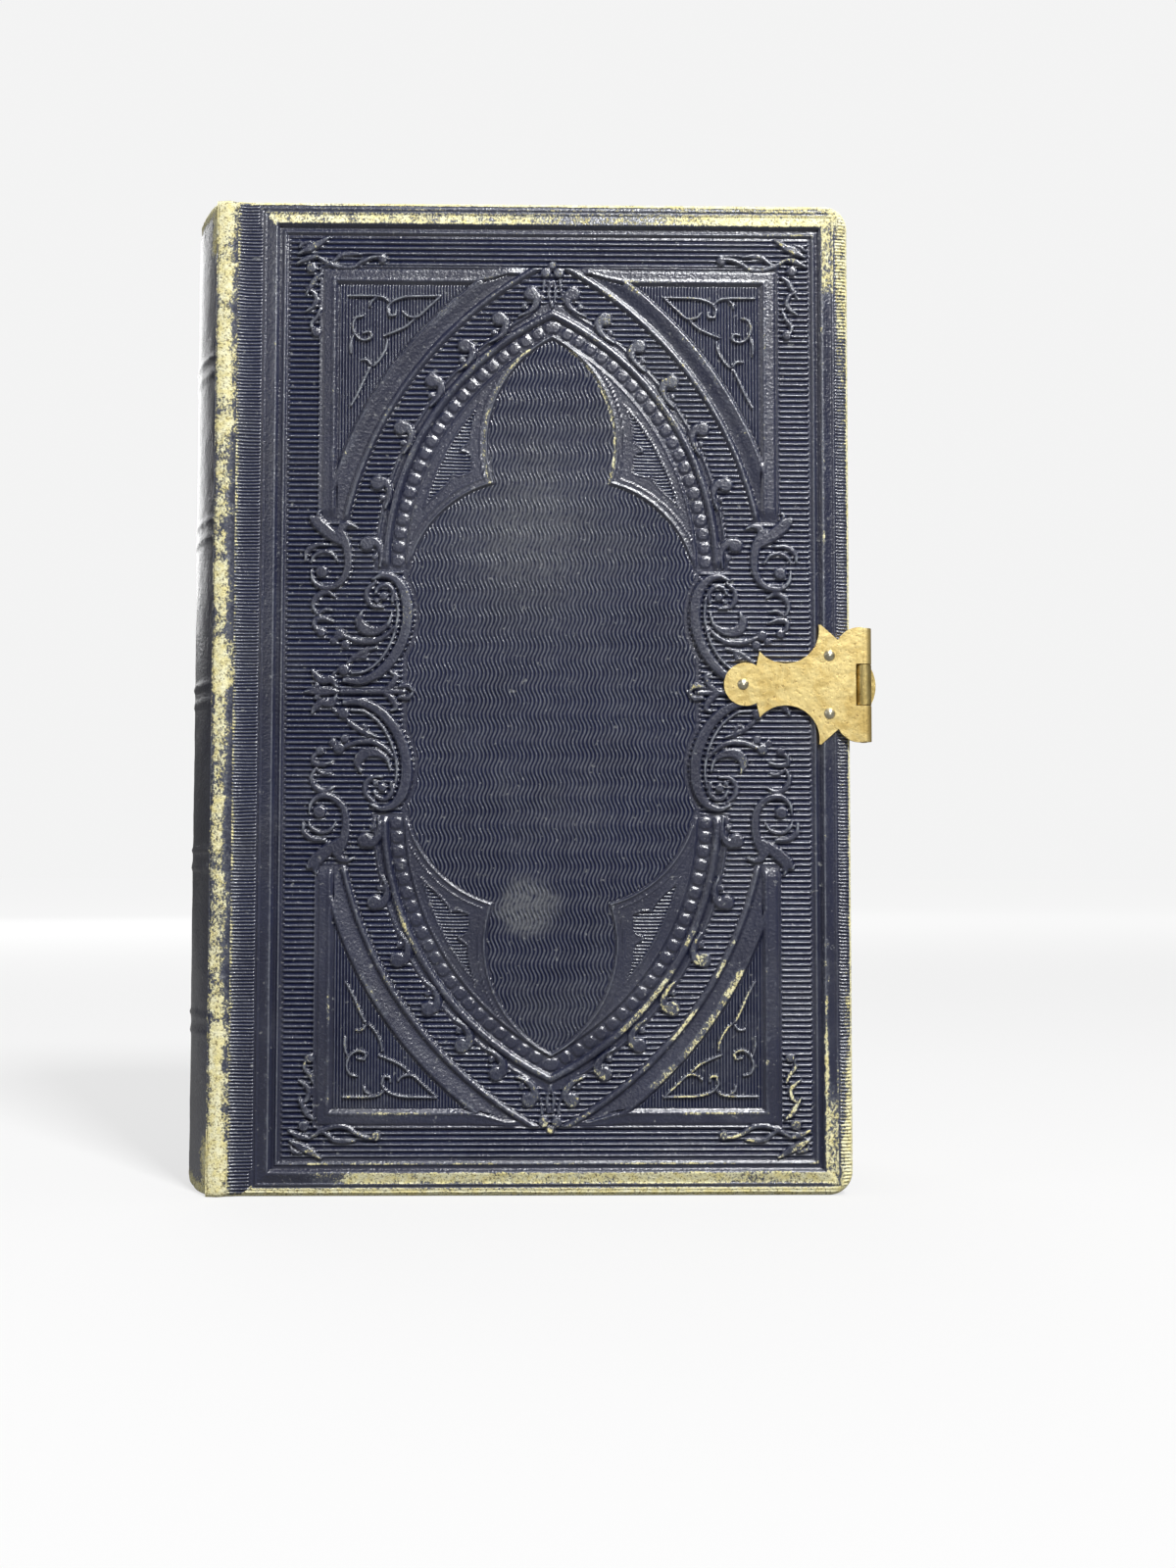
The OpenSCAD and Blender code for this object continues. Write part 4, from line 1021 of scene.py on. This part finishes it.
def floor():
    made, g, shader = material("pale_floor")
    path = g.tree.nodes.new("ShaderNodeLightPath")
    x, y = g.axis(g.place(), 0), g.axis(g.place(), 1)
    away = g.math("SQRT", g.math("ADD", g.math("MULTIPLY", x, x), g.math("MULTIPLY", y, y)))
    shader.inputs["Base Color"].default_value = (0.2, 0.2, 0.2, 1)
    shader.inputs["Roughness"].default_value = 0.9
    shader.inputs["Specular IOR Level"].default_value = 0.1
    shader.inputs["Emission Color"].default_value = (1, 1, 1, 1)
    glow = g.ramp(away, 200, 1500, 0.68, 0.88)
    g.put(shader.inputs["Emission Strength"], g.math("MULTIPLY", path.outputs["Is Camera Ray"], glow))
    r = 6.0
    points = np.array([[-r, -r, 0], [r, -r, 0], [r, r, 0], [-r, r, 0]])
    piece = make_mesh("floor", points, np.array([[0, 1, 2, 3]]), None, made)


def lamp(name, place, target, size, watts):
    data = bpy.data.lights.new(name, "AREA")
    data.shape = "RECTANGLE"
    data.size, data.size_y = size
    data.energy = watts
    piece = bpy.data.objects.new(name, data)
    piece.location = place
    piece.rotation_euler = (Vector(target) - Vector(place)).to_track_quat("-Z", "Y").to_euler()
    bpy.context.scene.collection.objects.link(piece)


floor()
lamp("high_front", (0.3, -0.6, 0.8), (0, 0, 0.08), (0.16, 0.24), 13.0)
lamp("left", (-0.9, -0.45, 0.5), (0, 0, 0.08), (0.4, 0.6), 1.2)
lamp("soft_box", (0.1, -1.4, 0.46), (0, 0, 0.1), (1.5, 0.2), 1.6)
lamp("top", (0.1, 0.1, 1.1), (0, 0, 0.08), (0.8, 0.8), 2.0)
lamp("behind", (-0.4, 1.1, 0.6), (0, 0, 0.08), (0.9, 0.7), 4.5)

sky = bpy.data.worlds.new("studio")
bpy.context.scene.world = sky
sky.use_nodes = True
tree = sky.node_tree
g = Graph(tree)
back_light = tree.nodes["Background"]
path = tree.nodes.new("ShaderNodeLightPath")
seen = g.math("MAXIMUM", path.outputs["Is Camera Ray"], path.outputs["Is Transmission Ray"])
back_light.inputs["Color"].default_value = (1, 1, 1, 1)
g.put(back_light.inputs["Strength"], g.math("MULTIPLY_ADD", seen, 0.8, 0.1))


def camera():
    """The photograph's view of the cover, from a fit to its corners and its frame."""
    sensor, focal_px, photo_px = 36, 1670, 1600
    eye_x, eye_away, eye_up = 1.8, 248.4, -26.4
    turn = Vector((math.radians(-2.86), math.radians(-0.97), math.radians(0.09)))
    spin = Matrix.Rotation(turn.length, 3, turn.normalized())
    plane = Matrix(((1, 0, 0), (0, 0, 1), (0, -1, 0)))
    right, down, forward = (plane @ spin[i] for i in range(3))
    data = bpy.data.cameras.new("camera")
    data.sensor_fit = "VERTICAL"
    data.sensor_height = sensor
    data.lens = sensor * focal_px / photo_px
    data.clip_start = 0.01
    piece = bpy.data.objects.new("camera", data)
    at = Vector(((eye_x + CX) / 1000, -(HALF_T + eye_away) / 1000, (MID_Z + eye_up) / 1000))
    axes = Matrix((right, -down, -forward)).transposed().to_4x4()
    piece.matrix_world = Matrix.Translation(at) @ axes
    bpy.context.scene.collection.objects.link(piece)
    bpy.context.scene.camera = piece


camera()
bpy.context.scene.view_settings.view_transform = "Standard"
